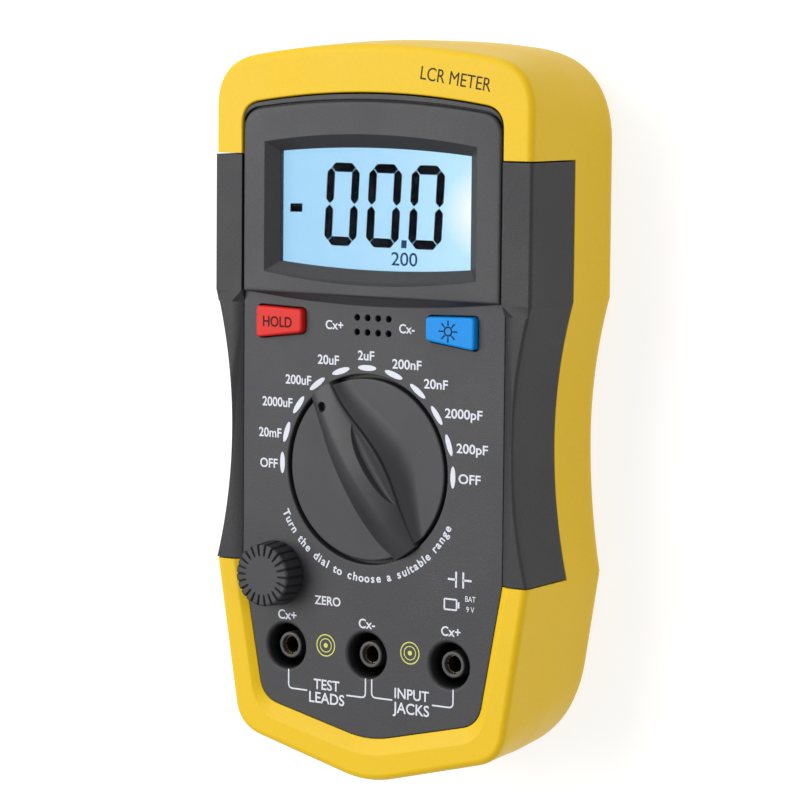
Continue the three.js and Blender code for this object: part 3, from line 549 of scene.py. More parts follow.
# Brass darkened to a painted shade, for the contacts deep inside the jacks.
SHADED_BRASS = metal("brass_in_painted_shade", (0.16, 0.11, 0.05), 0.42)
BATTERY_CAN = metal("battery_can", (0.10, 0.10, 0.12), 0.35, 300)
CLEAR = clear_plastic("clear_window")
CELL = lit_cell("lit_cell")
WHITE_INK = ink("white_ink", (0.54, 0.56, 0.62))
YELLOW_INK = ink("yellow_ink", (0.50, 0.50, 0.10))
DARK_INK = ink("dark_ink", (0.030, 0.023, 0.015), specular=0.1)
RED_INK = ink("dark_red_ink", (0.055, 0.004, 0.004), specular=0.08)
BLUE_INK = ink("dark_blue_ink", (0.003, 0.010, 0.035), specular=0.08)
LCD_INK = ink("crystal_black", (0.002, 0.0025, 0.005), 0.4, specular=0.0)
LCD_BLUE = ink("crystal_blue", (0.012, 0.045, 0.13), 0.25, specular=0.03)

SLOT_FINISH = {
    "yellow_case": YELLOW, "grey_panel": GREY, "grey_grip": GRIP, "clear_window": CLEAR, "lcd_cell": CELL,
    "white_plastic": WHITE, "red_button": RED, "blue_button": BLUE, "black_plastic": BLACK,
    "black_rubber": BLACK, "brass": BRASS, "steel": STEEL, "board": BOARD, "film_capacitor": AMBER,
    "fuse_body": STEEL, "battery_can": BATTERY_CAN, "wire_red": RED_SLEEVE, "wire_black": BLACK,
}
for part in frame["record"]["subparts"]:
    mesh = frame["nodes"][part["node"]].data
    mesh.materials.clear()
    mesh.materials.append(SLOT_FINISH[part["material_slot"]])


# ---- yellow case
def hinge_rod(radius, half_length):
    """A rod along the stand's hinge axis."""
    rod = pin(radius, -half_length, half_length, sides=32)
    rod.data.transform(Matrix.Translation((0, HINGE_Y, HINGE_Z)) @ Matrix.Rotation(pi / 2, 4, "Y"))
    return rod


def case_shell():
    shell = case_body(SHELF_Z)
    hollow = stack(
        (inset(case_outline(*BACK), WALL + 1.2), WALL),
        (inset(case_outline(*MIDDLE), WALL), PARTING_Z), (inset(case_outline(*FRONT), WALL), RIM_Z - 4),
    )
    hollow = carve(hollow, prism(panel_outline(2.1), 29, 60))
    upper = panel_outline(0.35)
    upper_flare = panel_outline(0.8)
    display_hole = stack(
        (upper, 27), (upper, SHELF_Z - 0.5), (panel_outline(0.42), SHELF_Z - 0.25),
        (panel_outline(0.56), SHELF_Z - 0.08), (upper_flare, SHELF_Z + 0.01), (upper_flare, 50),
    )
    display_hole = keep(display_hole, box(-60, 60, WAIST_TOP_Y - 20, 100, 20, 60))
    width = 1.7 + 1.9 * np.clip(tangents(panel_outline())[:, 0], 0, 1) ** 2
    growths = (0.12, 0.12, 0.3, 0.3 + width - 0.35, 0.3 + width, 0.3 + width + 0.5, 0.3 + width + 0.5)
    heights = (27, PANEL_Z - 0.05, PANEL_Z + 0.05, RIM_Z - 0.14, RIM_Z - 0.02, RIM_Z + 0.03, 50)
    chin_hole = stack(*[(panel_outline(g), z) for g, z in zip(growths, heights)])
    chin_hole = keep(chin_hole, box(-60, 60, -100, WAIST_TOP_Y - 20, 20, 60))
    tools = [hollow, display_hole, chin_hole]
    for side in (-1, 1):
        tools.append(box(*sorted((side * 35.7, side * 60)), WAIST_END_Y, GRIP_TOP_Y + 0.35, PARTING_Z, 60))
    return carve(shell, *tools)


def grip(side):
    top = case_body(SHELF_Z, edge=0.8, drop=False)
    top = keep(top, box(37.05, 60, WAIST_TOP_Y - 4, GRIP_TOP_Y, PARTING_Z + 0.3, 60))
    low = case_body(RIM_Z, edge=0.8, drop=False)
    low = keep(low, box(37.4, 60, WAIST_END_Y + 0.3, WAIST_TOP_Y + 2, PARTING_Z + 0.3, 60))
    upper, lower = WAIST_TOP_Y - 0.1, WAIST_TOP_Y - 2.9
    slope = loft([
        [(30, upper, SHELF_Z), (60, upper, SHELF_Z), (60, lower, RIM_Z - 0.02), (30, lower, RIM_Z - 0.02)],
        [(30, upper, 60), (60, upper, 60), (60, lower - 5, 60), (30, lower - 5, 60)],
    ])
    top = carve(top, slope, box(30, 60, WAIST_TOP_Y - 10, lower, 10, 60))
    body = add(top, low)
    sections = []
    for y, reach, height in ((-45, 40.7, RIM_Z), (lower, 40.7, RIM_Z), (WAIST_TOP_Y, 37.4, SHELF_Z)):
        sections.append([(36.5, y, PANEL_Z - 0.5), (reach, y, height + 0.18), (reach, y, 60), (36.5, y, 60)])
    body = carve(body, loft(sections))
    if side < 0:
        body.data.transform(Matrix.Scale(-1, 4, (1, 0, 0)))
        body.data.flip_normals()
    return body


def back_cutters():
    cover = (-28.9, 28.9, 33.7, 70.3)
    stand = (-26.3, 26.3, -52.3, 19.2)
    tools = [
        box(*cover, -1, 2.5),
        box(-27, 27.6, 38.5, 67.5, -1, 23.5),
        box(*stand, -1, 4.0),
        hinge_rod(1.45, 28.5),
        box(-9, 9, -58, -52, -1, 4.0),
    ]
    for x, y in CASE_SCREWS:
        profile = [(3.9, -1), (3.9, 0.0), (3.3, 0.6), (3.3, 3.4), (1.75, 3.41), (1.75, 13)]
        tools.append(turned(profile, x, y, 32))
    return tools


def case_inside():
    """The battery bay, the stand's pan and the screw posts inside the back."""
    parts = [
        box(-28.2, 28.8, 37.3, 68.7, 1, 24.7),
        box(-29.5, 29.5, -61, 22.5, 1, 6),
        box(-30.6, 30.6, 27, 72, 1, 4.8),
    ]
    parts += [pin(4.6, 1, 12, x, y) for x, y in CASE_SCREWS]
    return parts


shell = case_shell()
shell = add(shell, *case_inside())
shell = carve(shell, *back_cutters())
finish_piece(shell, "case_tub", "case", YELLOW, ["rear_case"])
finish_piece(grip(-1), "grip_left", "case", GRIP, ["left_grip"])
finish_piece(grip(1), "grip_right", "case", GRIP, ["right_grip"])


# ---- front panel
def crown(x):
    return SHELF_Z + (CROWN_Z - SHELF_Z) * (1 - np.clip(np.abs(x) / DISPLAY_HALF_WIDTH, 0, 1) ** 2)


ACROSS, ALONG = 41, 25


def display_outline(grow=0.0, foot=0.0):
    """The raised display frame, as a bottom side, right side, top side and left side of fixed counts."""
    half_width = DISPLAY_HALF_WIDTH - 0.15 + grow
    top_y = DISPLAY_TOP_Y - 1.75 + grow
    low_y = WAIST_TOP_Y - grow
    arch = 235.0
    corner_size = 5.0
    t = np.linspace(-1, 1, ACROSS)
    bottom = np.column_stack([half_width * t, low_y - foot * (1 - t * t)])
    arch_x = half_width - corner_size
    corner_y = top_y - arch_x**2 / (2 * arch)
    apex = (half_width, corner_y - arch_x * corner_size / arch)
    bow = bend((half_width, apex[1] - corner_size), apex, (arch_x, corner_y), 21)
    straight = np.linspace(low_y, apex[1] - corner_size, ALONG - 10 + 1)[1:]
    right = np.concatenate([np.column_stack([np.full(len(straight), half_width), straight])[:-1], bow[:11]])
    xs = np.linspace(arch_x, -arch_x, ACROSS - 20)
    middle = np.column_stack([xs, top_y - xs**2 / (2 * arch)])[1:-1]
    left_bow = bow[::-1] * [-1, 1]
    top = np.concatenate([bow[11:], middle, left_bow[:10]])
    down = np.column_stack([np.full(len(straight), -half_width), straight[::-1]])
    left = np.concatenate([left_bow[10:], down[1:]])
    return np.concatenate([bottom, right, top, left])


# Half-width, lower edge, upper edge and bow of the window, and of the rim of its sloped surround.
WINDOW = np.array([27.2, 35.5, 62.1, 1.3])
SURROUND = np.array([30.1, 33.1, 64.2, 2.3])


def window_ring(grow, along=23):
    """An outline between the window (grow 0) and its surround's rim (1), with along points up each side."""
    half_x, low, high, bow = WINDOW + (SURROUND - WINDOW) * grow
    t, side = np.linspace(-1, 1, ACROSS), np.linspace(low, high, along + 2)[1:-1]
    bottom = np.column_stack([half_x * t, low - bow * (1 - t * t)])
    right = np.column_stack([np.full(along, half_x), side])
    top = np.column_stack([-half_x * t, high + bow * (1 - t * t)])
    left = np.column_stack([np.full(along, -half_x), side[::-1]])
    return np.concatenate([bottom, right, top, left])


def display_frame():
    along = len(display_outline()) // 2 - ACROSS
    rim, window = window_ring(1, along), window_ring(0, along)

    def on_crown(points, drop=0.0):
        return np.column_stack([points, crown(points[:, 0]) - drop])

    rings = [at_height(display_outline(0, 2.3), z) for z in (PLATE_BOTTOM_Z + 0.2, PANEL_Z - 0.05)]
    edge = 0.55
    for up, over in quarter(5):
        rings.append(on_crown(display_outline(-edge * over), edge * (1 - up)))
    inner = display_outline(-edge)
    outer_rim = rim + (inner - rim) * 0.02
    for share in np.linspace(0, 1, 8)[1:]:
        rings.append(on_crown(inner + (outer_rim - inner) * share))
    slope_top = on_crown(rim, 0.12)
    rings.append(slope_top)
    slope_end = at_height(window, PANEL_Z - 0.7)
    for share in np.linspace(0, 1, 5)[1:]:
        rings.append(slope_top + (slope_end - slope_top) * share)
    rings.append(at_height(window, PLATE_BOTTOM_Z + 0.2))
    return loft(rings, closed=True)


def button_corners(side, grow):
    outer, inner = 31.2 + grow, 17.7 - grow
    corners = [(outer, 16.8 - grow), (outer, 24.6 + grow), (inner, 24.2 + grow), (inner, 18.6 - grow)]
    if side < 0:
        corners = [(-x, y) for x, y in corners[::-1]]
    return [(x - 1.5, y) for x, y in corners]


def socket_centres():
    return [(SOCKET_X + (i - 1.5) * 3.0, SOCKET_Y + (j - 0.5) * 3.5) for i in range(4) for j in range(2)]


def detent_outline():
    points = []
    for i in range(20):
        centre = DIAL_TURN + i * pi / 10
        for turn, depth in ((-0.1, 0), (-0.03, 0.6), (0.03, 0.6), (0.1, 0)):
            radius = 25.3 + depth
            points.append((DIAL_X + radius * cos(centre + turn), DIAL_Y + radius * sin(centre + turn)))
    return np.array(points)


def front_panel():
    outline = panel_outline()
    edge = 0.25
    plate = stack(
        (outline, PLATE_BOTTOM_Z), (outline, PANEL_Z - edge),
        (inset(outline, edge * 0.3), PANEL_Z - edge * 0.3), (inset(outline, edge), PANEL_Z),
    )
    collar_top = PANEL_Z + 1.25
    collar = stack(
        (outline, PANEL_Z - 1), (outline, collar_top - 0.2),
        (inset(outline, 0.06), collar_top - 0.06), (inset(outline, 0.2), collar_top),
    )
    collar = keep(collar, box(-50, 50, 66, 90, 30, 60))
    groove, mouth = display_outline(0.42), display_outline(0.57)
    collar = carve(collar, stack(
        (groove, PANEL_Z + 0.1), (groove, collar_top - 0.15),
        (mouth, collar_top + 0.01), (mouth, 50),
    ))
    skirt = carve(prism(outline, 29.8, PANEL_Z - 1), prism(panel_outline(-1.6), 20, PLATE_BOTTOM_Z))
    ring = pin(27, 30, PANEL_Z - 1, DIAL_X, DIAL_Y, 80)
    ring = carve(ring, prism(detent_outline(), 20, PLATE_BOTTOM_Z))
    bosses = [pin(3.2, 12.3, PANEL_Z - 1, x, y) for x, y in CASE_SCREWS]
    tubes = [pin(7, 22, PANEL_Z - 1, x, JACK_Y, 48) for x, _ in JACKS]
    posts = [pin(2.6, 29.1, PANEL_Z - 1, x, y) for x, y in BOARD_POSTS]
    plate = add(plate, skirt, ring, collar, *bosses, *tubes, *posts)
    plate = carve(plate, prism(window_ring(0.5), 20, 50))
    plate = add(plate, display_frame())
    tools = [flared(22.9, PANEL_Z, 0.35, 20, DIAL_X, DIAL_Y, 128)]
    tools.append(flared(3.6, PANEL_Z, 0.2, 20, ZERO_X, ZERO_Y, 32))
    tools += [flared(5.55, PANEL_Z, 0.75, 20, x, JACK_Y, 72) for x, _ in JACKS]
    tools += [flared(0.78, PANEL_Z, 0.14, 20, x, y, 20) for x, y in socket_centres()]
    tools += [pin(1.75, 10, 25, x, y, 16) for x, y in CASE_SCREWS]
    tools += [pin(1.3, 27, 34.5, x, y, 16) for x, y in BOARD_POSTS]
    for side in (-1, 1):
        rims = [rounded_polygon(button_corners(side, g), 0.9 + g) for g in (0.3, 0.3, 0.45, 0.45)]
        tools.append(stack(*zip(rims, (20, PANEL_Z - 0.15, PANEL_Z + 0.01, 50))))
    return carve(plate, *tools)


finish_piece(front_panel(), "face_panel", "case", GREY, ["front_case"])


# ---- range knob
def smooth(x, points):
    """A smooth curve through (position, value) points."""
    xs, ys = (np.array(v, float) for v in zip(*sorted(points)))
    slopes = np.gradient(ys, xs)
    x = np.clip(x, xs[0], xs[-1])
    i = np.clip(np.searchsorted(xs, x) - 1, 0, len(xs) - 2)
    width = xs[i + 1] - xs[i]
    t = (x - xs[i]) / width
    a, b = ys[i], ys[i + 1]
    h = t * t * (3 - 2 * t)
    return a + (b - a) * h + width * (slopes[i] * (t - 2 * t**2 + t**3) + slopes[i + 1] * (t**3 - t**2))


# Along the handle, from its tail to its tip: edge distances to each side of the middle line, and heights.
TIP = 23.2
KNOB_LEFT = [(-23, 5.4), (-18, 7.0), (-10, 8.3), (2, 8.0), (9, 7.0), (16, 5.2), (23.2, 3.3)]
KNOB_RIGHT = [
    (-23, 1.4), (-17, 2.8), (-12, 4.2), (-6, 5.9), (0, 6.6),
    (5, 6.2), (12, 4.9), (16, 4.3), (23.2, 4.2),
]
KNOB_RIDGE = [
    (-23, 1.6), (-19, 2.7), (-14, 3.9), (-8, 4.8), (0, 5.4),
    (8, 4.9), (14, 4.0), (19, 3.0), (23.2, 2.2),
]
KNOB_EDGE = [
    (-23, 1.2), (-17, 2.2), (-12, 3.0), (-6, 3.7), (0, 4.0),
    (6, 3.7), (12, 3.2), (18, 2.5), (23.2, 1.9),
]
DISC_Z = -0.15


def handle_section(x):
    """Points (across, height) from the left foot over the ridge to the right foot. Left is positive."""
    left, right = smooth(x, KNOB_LEFT), smooth(x, KNOB_RIGHT)
    ridge, edge = smooth(x, KNOB_RIDGE), smooth(x, KNOB_EDGE)
    scoop = max(0.0, 1 - ((x + 0.8) / 11.2) ** 2)
    lip = right - 4.4 * scoop**0.8
    points = []
    crest = 0.16 * left
    for t in np.linspace(0, 1, 11):
        rise = 0.25 * t + 0.75 * sin(t * pi / 2)
        points.append((left + (crest - left) * t, DISC_Z - 0.05 + (ridge - DISC_Z) * rise))
    lip_height = ridge - (ridge - edge) * min(1.0, max(0.0, (lip + crest) / (right + crest))) ** 1.6
    for t in np.linspace(0, 1, 9)[1:]:
        across = crest - (lip + crest) * t
        points.append((across, ridge + (lip_height - ridge) * t**1.8))
    for t in np.linspace(0, 1, 9)[1:]:
        across = -(lip + (right - lip) * t)
        hollow = (lip_height + (edge - lip_height) * t) - 1.5 * scoop**0.7 * sin(pi * t**0.5)
        points.append((across, hollow))
    for drop, out in ((0.12, 0.12), (0.35, 0.22), (0.75, 0.32)):
        points.append((-(right + out), edge - drop * min(1.0, edge / 2.5)))
    return points, right, edge


def handle():
    rings = []
    for x in np.linspace(-23, TIP, 93):
        points, right, edge = handle_section(x)
        foot = -(right + 0.55)
        points += [(foot, DISC_Z - 0.05), (foot, -2.0), (smooth(x, KNOB_LEFT), -2.0)]
        rings.append([(x, across, PANEL_Z + height) for across, height in points])
    return loft(rings)


def handle_foot():
    """The hollowed blend between the steep side of the handle and the disc."""
    rings = []
    for x in np.linspace(-22.5, TIP, 70):
        _, right, edge = handle_section(x)
        top = edge * 0.8
        reach = 0.4 + 1.9 * edge
        points = [(-right, -2.0), (-right, top)]
        for t in np.linspace(0, 1, 14)[1:]:
            across = right + 0.35 + reach * t
            height = (DISC_Z - 0.06) + (top - DISC_Z) * (1 - t) ** 2.8
            points.append((-across, height))
        points.append((-(right + 0.35 + reach), -2.0))
        rings.append([(x, across, PANEL_Z + height) for across, height in points])
    return loft(rings)


def range_knob():
    rim = [(24.3, 34.4), (24.3, 35.5), (21.95, 35.5), (21.95, PANEL_Z + DISC_Z - 0.4)]
    for up, over in quarter(5, 1):
        rim.append((21.95 - 0.4 * over, PANEL_Z + DISC_Z - 0.4 + 0.4 * up))
    disc = turned(rim, 0, 0, 160)
    limit = turned([(22.72, 30), (22.72, PANEL_Z + 1.2), (22.3, 60)], 0, 0, 160)
    grip_part = keep(handle(), limit)
    foot = keep(handle_foot(), pin(21.9, 30, 60, sides=160))
    knob = add(disc, foot, grip_part)
    dimple = [(0.7, 1.0), (0.95, 1.2), (1.0, 2.4), (1.25, 2.9), (1.6, 6.0)]
    tool = turned([(r, PANEL_Z + z) for r, z in dimple], 18.4, 0.4, 32)
    knob = carve(knob, tool)
    knob.data.transform(Matrix.Translation((DIAL_X, DIAL_Y, 0)) @ Matrix.Rotation(DIAL_TURN, 4, "Z"))
    return knob


finish_piece(range_knob(), "dial_knob", "range_switch", KNOB, ["range_knob"], sharp=38)


# ---- zero knob
def zero_knob():
    lobes, per_lobe = 22, 14
    radius, height = 7.95, 6.05
    base = PANEL_Z + 0.35
    face = [(0.4, 0.0), (2.5, 0.0), (4.3, 0.0), (4.55, 0.0), (4.8, 0.45)]
    face += [(5.1, 0.85), (5.6, 1.0), (6.4, 1.0), (7.1, 1.0)]
    profile = [(r, height, amount) for r, amount in face]
    edge = 0.55
    for up, over in quarter(5):
        profile.append((radius - 0.35 - edge + edge * up, height - edge * over, 1.0))
    profile += [(radius - 0.2, height * 0.5, 1.0), (radius, 0.6, 1.0), (radius, 0.0, 1.0)]
    rings = []
    for r, z, amount in profile:
        ring = []
        for i in range(lobes * per_lobe):
            angle = 2 * pi * (i + 0.5) / (lobes * per_lobe)
            phase = abs(((i + 0.5) / per_lobe) % 1 - 0.5) * 2
            valley = max(0.0, 1 - (1 - phase) / 0.30)
            valley = min(1.0, valley * 1.6)
            on_face = 1.0 if z >= height - 0.3 else max(0.0, (z - height + edge) / edge)
            sink = 0.55 * valley * amount
            along = r - sink * (1 - on_face)
            ring.append((along * cos(angle), along * sin(angle), base + z - sink * on_face))
        rings.append(ring)
    knob = loft(rings[::-1])
    knob = carve(knob, pin(3.2, 30, base + 3.6, sides=32))
    knob.data.transform(Matrix.Translation((ZERO_X, ZERO_Y, 0)))
    return knob


finish_piece(zero_knob(), "zero_wheel", "zero_control", KNOB, ["zero_knob"], sharp=40)


# ---- buttons
def push_button(side):
    top = PANEL_Z + 1.6
    edge = 0.6
    rings = [at_height(rounded_polygon(button_corners(side, 0), 1.1), z) for z in (34.6, top - edge)]
    for up, over in quarter(6, 1):
        outline = rounded_polygon(button_corners(side, -edge * over), 1.1 - edge * over * 0.8)
        rings.append(at_height(outline, top - edge + edge * up))
    cap = loft(rings)
    flange = prism(button_corners(side, 0.9), 34.2, PLATE_BOTTOM_Z - 0.3)
    return add(cap, flange)


finish_piece(push_button(-1), "hold_cap", "hold_key", RED, ["hold_button"])
finish_piece(push_button(1), "light_cap", "backlight_key", BLUE, ["backlight_button"])


# ---- input jacks
def jack_post(x):
    top = PANEL_Z - 1.75
    outline = [(5.25, 20), (5.25, 23), (3.25, 23.01), (3.25, top - 0.5)]
    for up, over in quarter(5, 1):
        outline.append((3.25 - 0.4 * over, top - 0.4 + 0.4 * up))
    outline += [(2.45, top), (2.3, top - 0.12), (2.25, top - 0.4), (2.25, 20)]
    return turned(outline, x, JACK_Y, 64, closed=True)


def jack_contact(x):
    top = PANEL_Z - 2.75
    outline = [(1.9, 19.0), (1.9, top - 0.15), (2.0, top), (2.15, top)]
    outline += [(2.15, 19.9), (3.9, 19.7), (3.9, 17.2), (1.9, 17.2)]
    tube = turned(outline, x, JACK_Y, 48, closed=True)
    return carve(tube, *crossed(x, JACK_Y, 3, 0.2, 22, 40))


for x, index in JACKS:
    post, contact = jack_post(x), jack_contact(x)
    finish_piece(post, f"jack_post_{index}", "case", POST, [f"jack_insulator_{index}"])
    finish_piece(contact, f"jack_contact_{index}", "case", SHADED_BRASS, [f"jack_socket_{index}"])
    # A black sheet 0.03 mm thick on the wall of the jack well: painted shade for the dark inside of the jack.
    wall = [(5.5, 20.3), (5.5, PANEL_Z - 0.9), (5.53, PANEL_Z - 0.9), (5.53, 20.2)]
    shade_sheet = turned(wall, x, JACK_Y, 64, closed=True)
    finish_piece(shade_sheet, f"jack_shade_sheet_{index}", "case", BLACK)


def component_socket():
    top = PLATE_BOTTOM_Z - 0.05
    body = box(SOCKET_X - 7, SOCKET_X + 7, SOCKET_Y - 4, SOCKET_Y + 4, 31, top, edge=0.3)
    return carve(body, *[flared(0.75, top, 0.2, 32.5, x, y, 20) for x, y in socket_centres()])


finish_piece(component_socket(), "component_socket", "case", BLACK, ["test_socket"])


# ---- display
def window_lens():
    outline = inset(window_ring(0), 0.12)
    inner = inset(outline, 0.15)
    return stack((outline, PANEL_Z - 2.0), (outline, PANEL_Z - 1.1), (inner, PANEL_Z - 0.95))


def crystal_cell():
    glass = box(-29, 29, 31.5, 64.5, 33.7, PLATE_BOTTOM_Z - 0.35, edge=0.25)
    step = box(-29.2, 29.2, 31.3, 33.2, 34.7, 40)
    return carve(glass, step)


finish_piece(window_lens(), "window_lens", "case", CLEAR, ["lcd_window"])
finish_piece(crystal_cell(), "crystal_cell", "case", CELL, ["lcd_glass"])
LCD_Z = PLATE_BOTTOM_Z - 0.33
PRINT_DEPTH = 0.03


def plate_of(points, z):
    return stack((points, z), (points, z + PRINT_DEPTH))


def segment(a, b, half, gap=0.13):
    """One display segment between two points: a bar with pointed ends."""
    a, b = np.array(a, float), np.array(b, float)
    along = (b - a) / np.linalg.norm(b - a)
    side = np.array([-along[1], along[0]])
    a, b = a + along * gap, b - along * gap
    tip = half * 0.98
    from_a, from_b, side = a + along * tip, b - along * tip, side * half
    return [a, from_a - side, from_b - side, b, from_b + side, from_a + side]


def digit_zero(x, low, high, width):
    lean = 0.055
    half = 1.1
    inner_low, inner_high = low + half, high - half
    middle = (low + high) / 2
    left, right = x - width / 2 + half, x + width / 2 - half

    def at(px, py):
        return (px + lean * (py - middle), py)

    spans = ((middle, inner_high), (inner_low, middle))
    bars = [(at(px, start), at(px, end)) for px in (left, right) for start, end in spans]
    bars += [(at(left, py), at(right, py)) for py in (inner_high, inner_low)]
    return [plate_of(segment(*bar, half), LCD_Z) for bar in bars]


def merge(objects):
    """Joins separate meshes into one object."""
    work = bmesh.new()
    for obj in objects:
        work.from_mesh(obj.data)
        bpy.data.objects.remove(obj)
    mesh = bpy.data.meshes.new("work")
    work.to_mesh(mesh)
    work.free()
    return linked(mesh)


def lettering(text, size, x, y, z, turn=0.0, width=1.0, weight=0.0):
    """Text centred on x, y, as a thin mesh. size is the height of its capitals in millimetres."""
    curve = bpy.data.curves.new("text", "FONT")
    curve.body = text
    curve.size = size / 0.729
    curve.align_x = "CENTER"
    curve.align_y = "CENTER"
    curve.offset = weight
    curve.resolution_u = 6
    curve.extrude = PRINT_DEPTH / 2
    holder = linked(curve)
    mesh = evaluated_mesh(holder)
    bpy.data.objects.remove(holder)
    turned_by = Matrix.Rotation(turn, 4, "Z") @ Matrix.Diagonal((width, 1, 1, 1))
    mesh.transform(Matrix.Translation((x, y, z)) @ turned_by)
    return linked(mesh)


DIGITS = [piece for x in (-10.5, 1.55, 13.6) for piece in digit_zero(x, 39.7, 59.6, 9.3)]
minus = plate_of([(-25.6, 47.35), (-22.1, 47.45), (-22.0, 49.5), (-25.5, 49.4)], LCD_Z)
finish_piece(merge(DIGITS + [minus]), "crystal_digits", "case", LCD_INK, sharp=20)
point = plate_of([(6.5, 39.8), (8.0, 39.8), (8.1, 41.7), (6.6, 41.7)], LCD_Z)
scale_word = lettering("200", 3.3, 7.45, 37.0, LCD_Z + 0.015, width=1.12, weight=0.03)
finish_piece(merge([point, scale_word]), "crystal_scale", "case", LCD_BLUE, sharp=20)


# ---- printing on the panel
INK_Z = PANEL_Z + 0.012
TEXT_Z = INK_Z + 0.015


def ellipse(long_half, short_half, x, y, turn, sides=36):
    points = circle(1.0, sides) * [long_half, short_half]
    spin = np.array([[cos(turn), -sin(turn)], [sin(turn), cos(turn)]])
    return points @ spin.T + [x, y]


def stroke(points, width, z=INK_Z):
    """A line of constant width through the points, flat on the panel."""
    points = np.array(points, float)
    before = np.vstack([points[:1], points[:-1]])
    after = np.vstack([points[1:], points[-1:]])
    along = after - before
    along /= np.linalg.norm(along, axis=1)[:, None]
    normal = np.column_stack([-along[:, 1], along[:, 0]]) * width / 2
    left, right = points + normal, points - normal
    return plate_of(np.concatenate([right, left[::-1]]), z)


def outline_band(points, width, z=INK_Z):
    inner, top = inset(points, width), z + PRINT_DEPTH
    return stack((points, z), (points, top), (inner, top), (inner, z), closed=True)


def white_print():
    marks = []
    for step in range(11):
        angle = radians(180 - 18 * step)
        x, y = DIAL_X + 24.5 * cos(angle), DIAL_Y + 24.5 * sin(angle)
        marks.append(plate_of(ellipse(2.62, 0.70, x, y, angle + pi / 2), INK_Z))
    labels = [
        ("OFF", -28.55, -14.0), ("20mF", -28.2, -6.5), ("2000uF", -26.1, 1.1), ("200uF", -19.95, 6.85),
        ("20uF", -11.2, 12.2), ("2uF", -0.35, 13.8), ("200nF", 11.3, 12.3), ("20nF", 19.5, 8.1),
        ("2000pF", 27.3, 1.5), ("200pF", 29.75, -6.6), ("OFF", 29.1, -13.8),
    ]
    for text, x, y in labels:
        marks.append(lettering(text, 2.3, x + DIAL_X, y, TEXT_Z, width=1.04 + 0.003 * x, weight=0.055))
    for text, x, y, size in (
        ("Cx+", -10.6, 20.7, 2.2), ("Cx-", 10.1, 20.8, 2.2), ("ZERO", -12.0, -46.4, 2.2),
        ("Cx+", -23.9, -50.9, 2.35), ("Cx-", -0.6, -50.9, 2.35), ("Cx+", 23.3, -50.4, 2.35),
        ("TEST", -12.2, -67.1, 2.6), ("LEADS", -12.2, -70.4, 2.75),
        ("INPUT", 12.3, -66.8, 2.6), ("JACKS", 12.4, -70.3, 2.75),
    ):
        marks.append(lettering(text, size, x, y, TEXT_Z, width=0.98, weight=0.05))
    legend = "Turn the dial to choose a suitable range"
    narrow = {"i": 0.5, "l": 0.5, "t": 0.68, "r": 0.72, " ": 0.8, "m": 1.5}
    advance = np.array([narrow.get(letter, 1.0) for letter in legend])
    middles = np.cumsum(advance) - advance / 2
    spread = radians(128)
    for letter, middle in zip(legend, middles):
        if letter == " ":
            continue
        angle = radians(270) - spread / 2 + spread * middle / advance.sum()
        x, y = DIAL_X + 26.3 * cos(angle), DIAL_Y + 26.3 * sin(angle)
        marks.append(lettering(letter, 2.05, x, y, TEXT_Z, angle + pi / 2, 1.0, 0.065))

    def bracket(x0, x1, text0, text1, low, high):
        for x, inner, text in ((x0, x0 + 1.2, text0), (x1, x1 - 1.2, text1)):
            corner = bend((x, low + 1.2), (x, low), (inner, low), 6)
            marks.append(stroke([(x, high), *corner, (text, low)], 0.38))

    bracket(-23.4, -0.85, -17.9, -6.4, -68.8, -64.1)
    bracket(0.95, 24.1, 6.9, 18.2, -68.5, -64.1)
    for x, lead in ((24.6, 22.3), (26.6, 28.9)):
        marks.append(stroke([(x, -39.6), (x, -35.8)], 0.5))
        marks.append(stroke(sorted([(x, -37.7), (lead, -37.7)]), 0.5))
    battery_case = rounded_polygon([(21.2, -45.2), (25.0, -45.2), (25.0, -42.3), (21.2, -42.3)], 0.4, 5)
    marks.append(outline_band(battery_case, 0.4))
    marks.append(stroke([(25.35, -44.5), (25.35, -43.0)], 0.5))
    marks.append(lettering("BAT", 1.4, 28.6, -42.1, TEXT_Z, width=0.85, weight=0.01))
    marks.append(lettering("9 V", 1.4, 28.6, -44.6, TEXT_Z, width=0.85, weight=0.01))
    return merge(marks)


def yellow_print():
    marks = []
    for x, y in ((-12.5, -57.2), (11.8, -56.6)):
        marks.append(outline_band(circle(2.75, 48, x, y), 0.30))
        marks.append(outline_band(circle(1.75, 40, x, y), 0.24))
        marks.append(plate_of(circle(0.6, 24, x, y), INK_Z))
    return merge(marks)


finish_piece(white_print(), "white_print", "case", WHITE_INK, sharp=20)
finish_piece(yellow_print(), "yellow_print", "case", YELLOW_INK, sharp=20)
name_print = lettering("LCR METER", 3.3, 23.8, 79.9, SHELF_Z + 0.02, radians(-8), 0.86)
finish_piece(name_print, "cap_print", "case", DARK_INK, sharp=20)
hold_print = lettering("HOLD", 2.6, -26.3, 20.75, PANEL_Z + 1.612, 0, 0.88, 0.07)
finish_piece(hold_print, "hold_print", "hold_key", RED_INK, sharp=20)


def sun_print():
    x, y, z = 22.6, 21.05, PANEL_Z + 1.612
    marks = [outline_band(circle(1.2, 32, x, y), 0.36, z)]
    for i in range(8):
        angle = i * pi / 4
        ends = [(x + r * cos(angle), y + r * sin(angle)) for r in (1.35, 2.6)]
        marks.append(stroke(ends, 0.34, z))
    return merge(marks)


finish_piece(sun_print(), "light_print", "backlight_key", BLUE_INK, sharp=20)


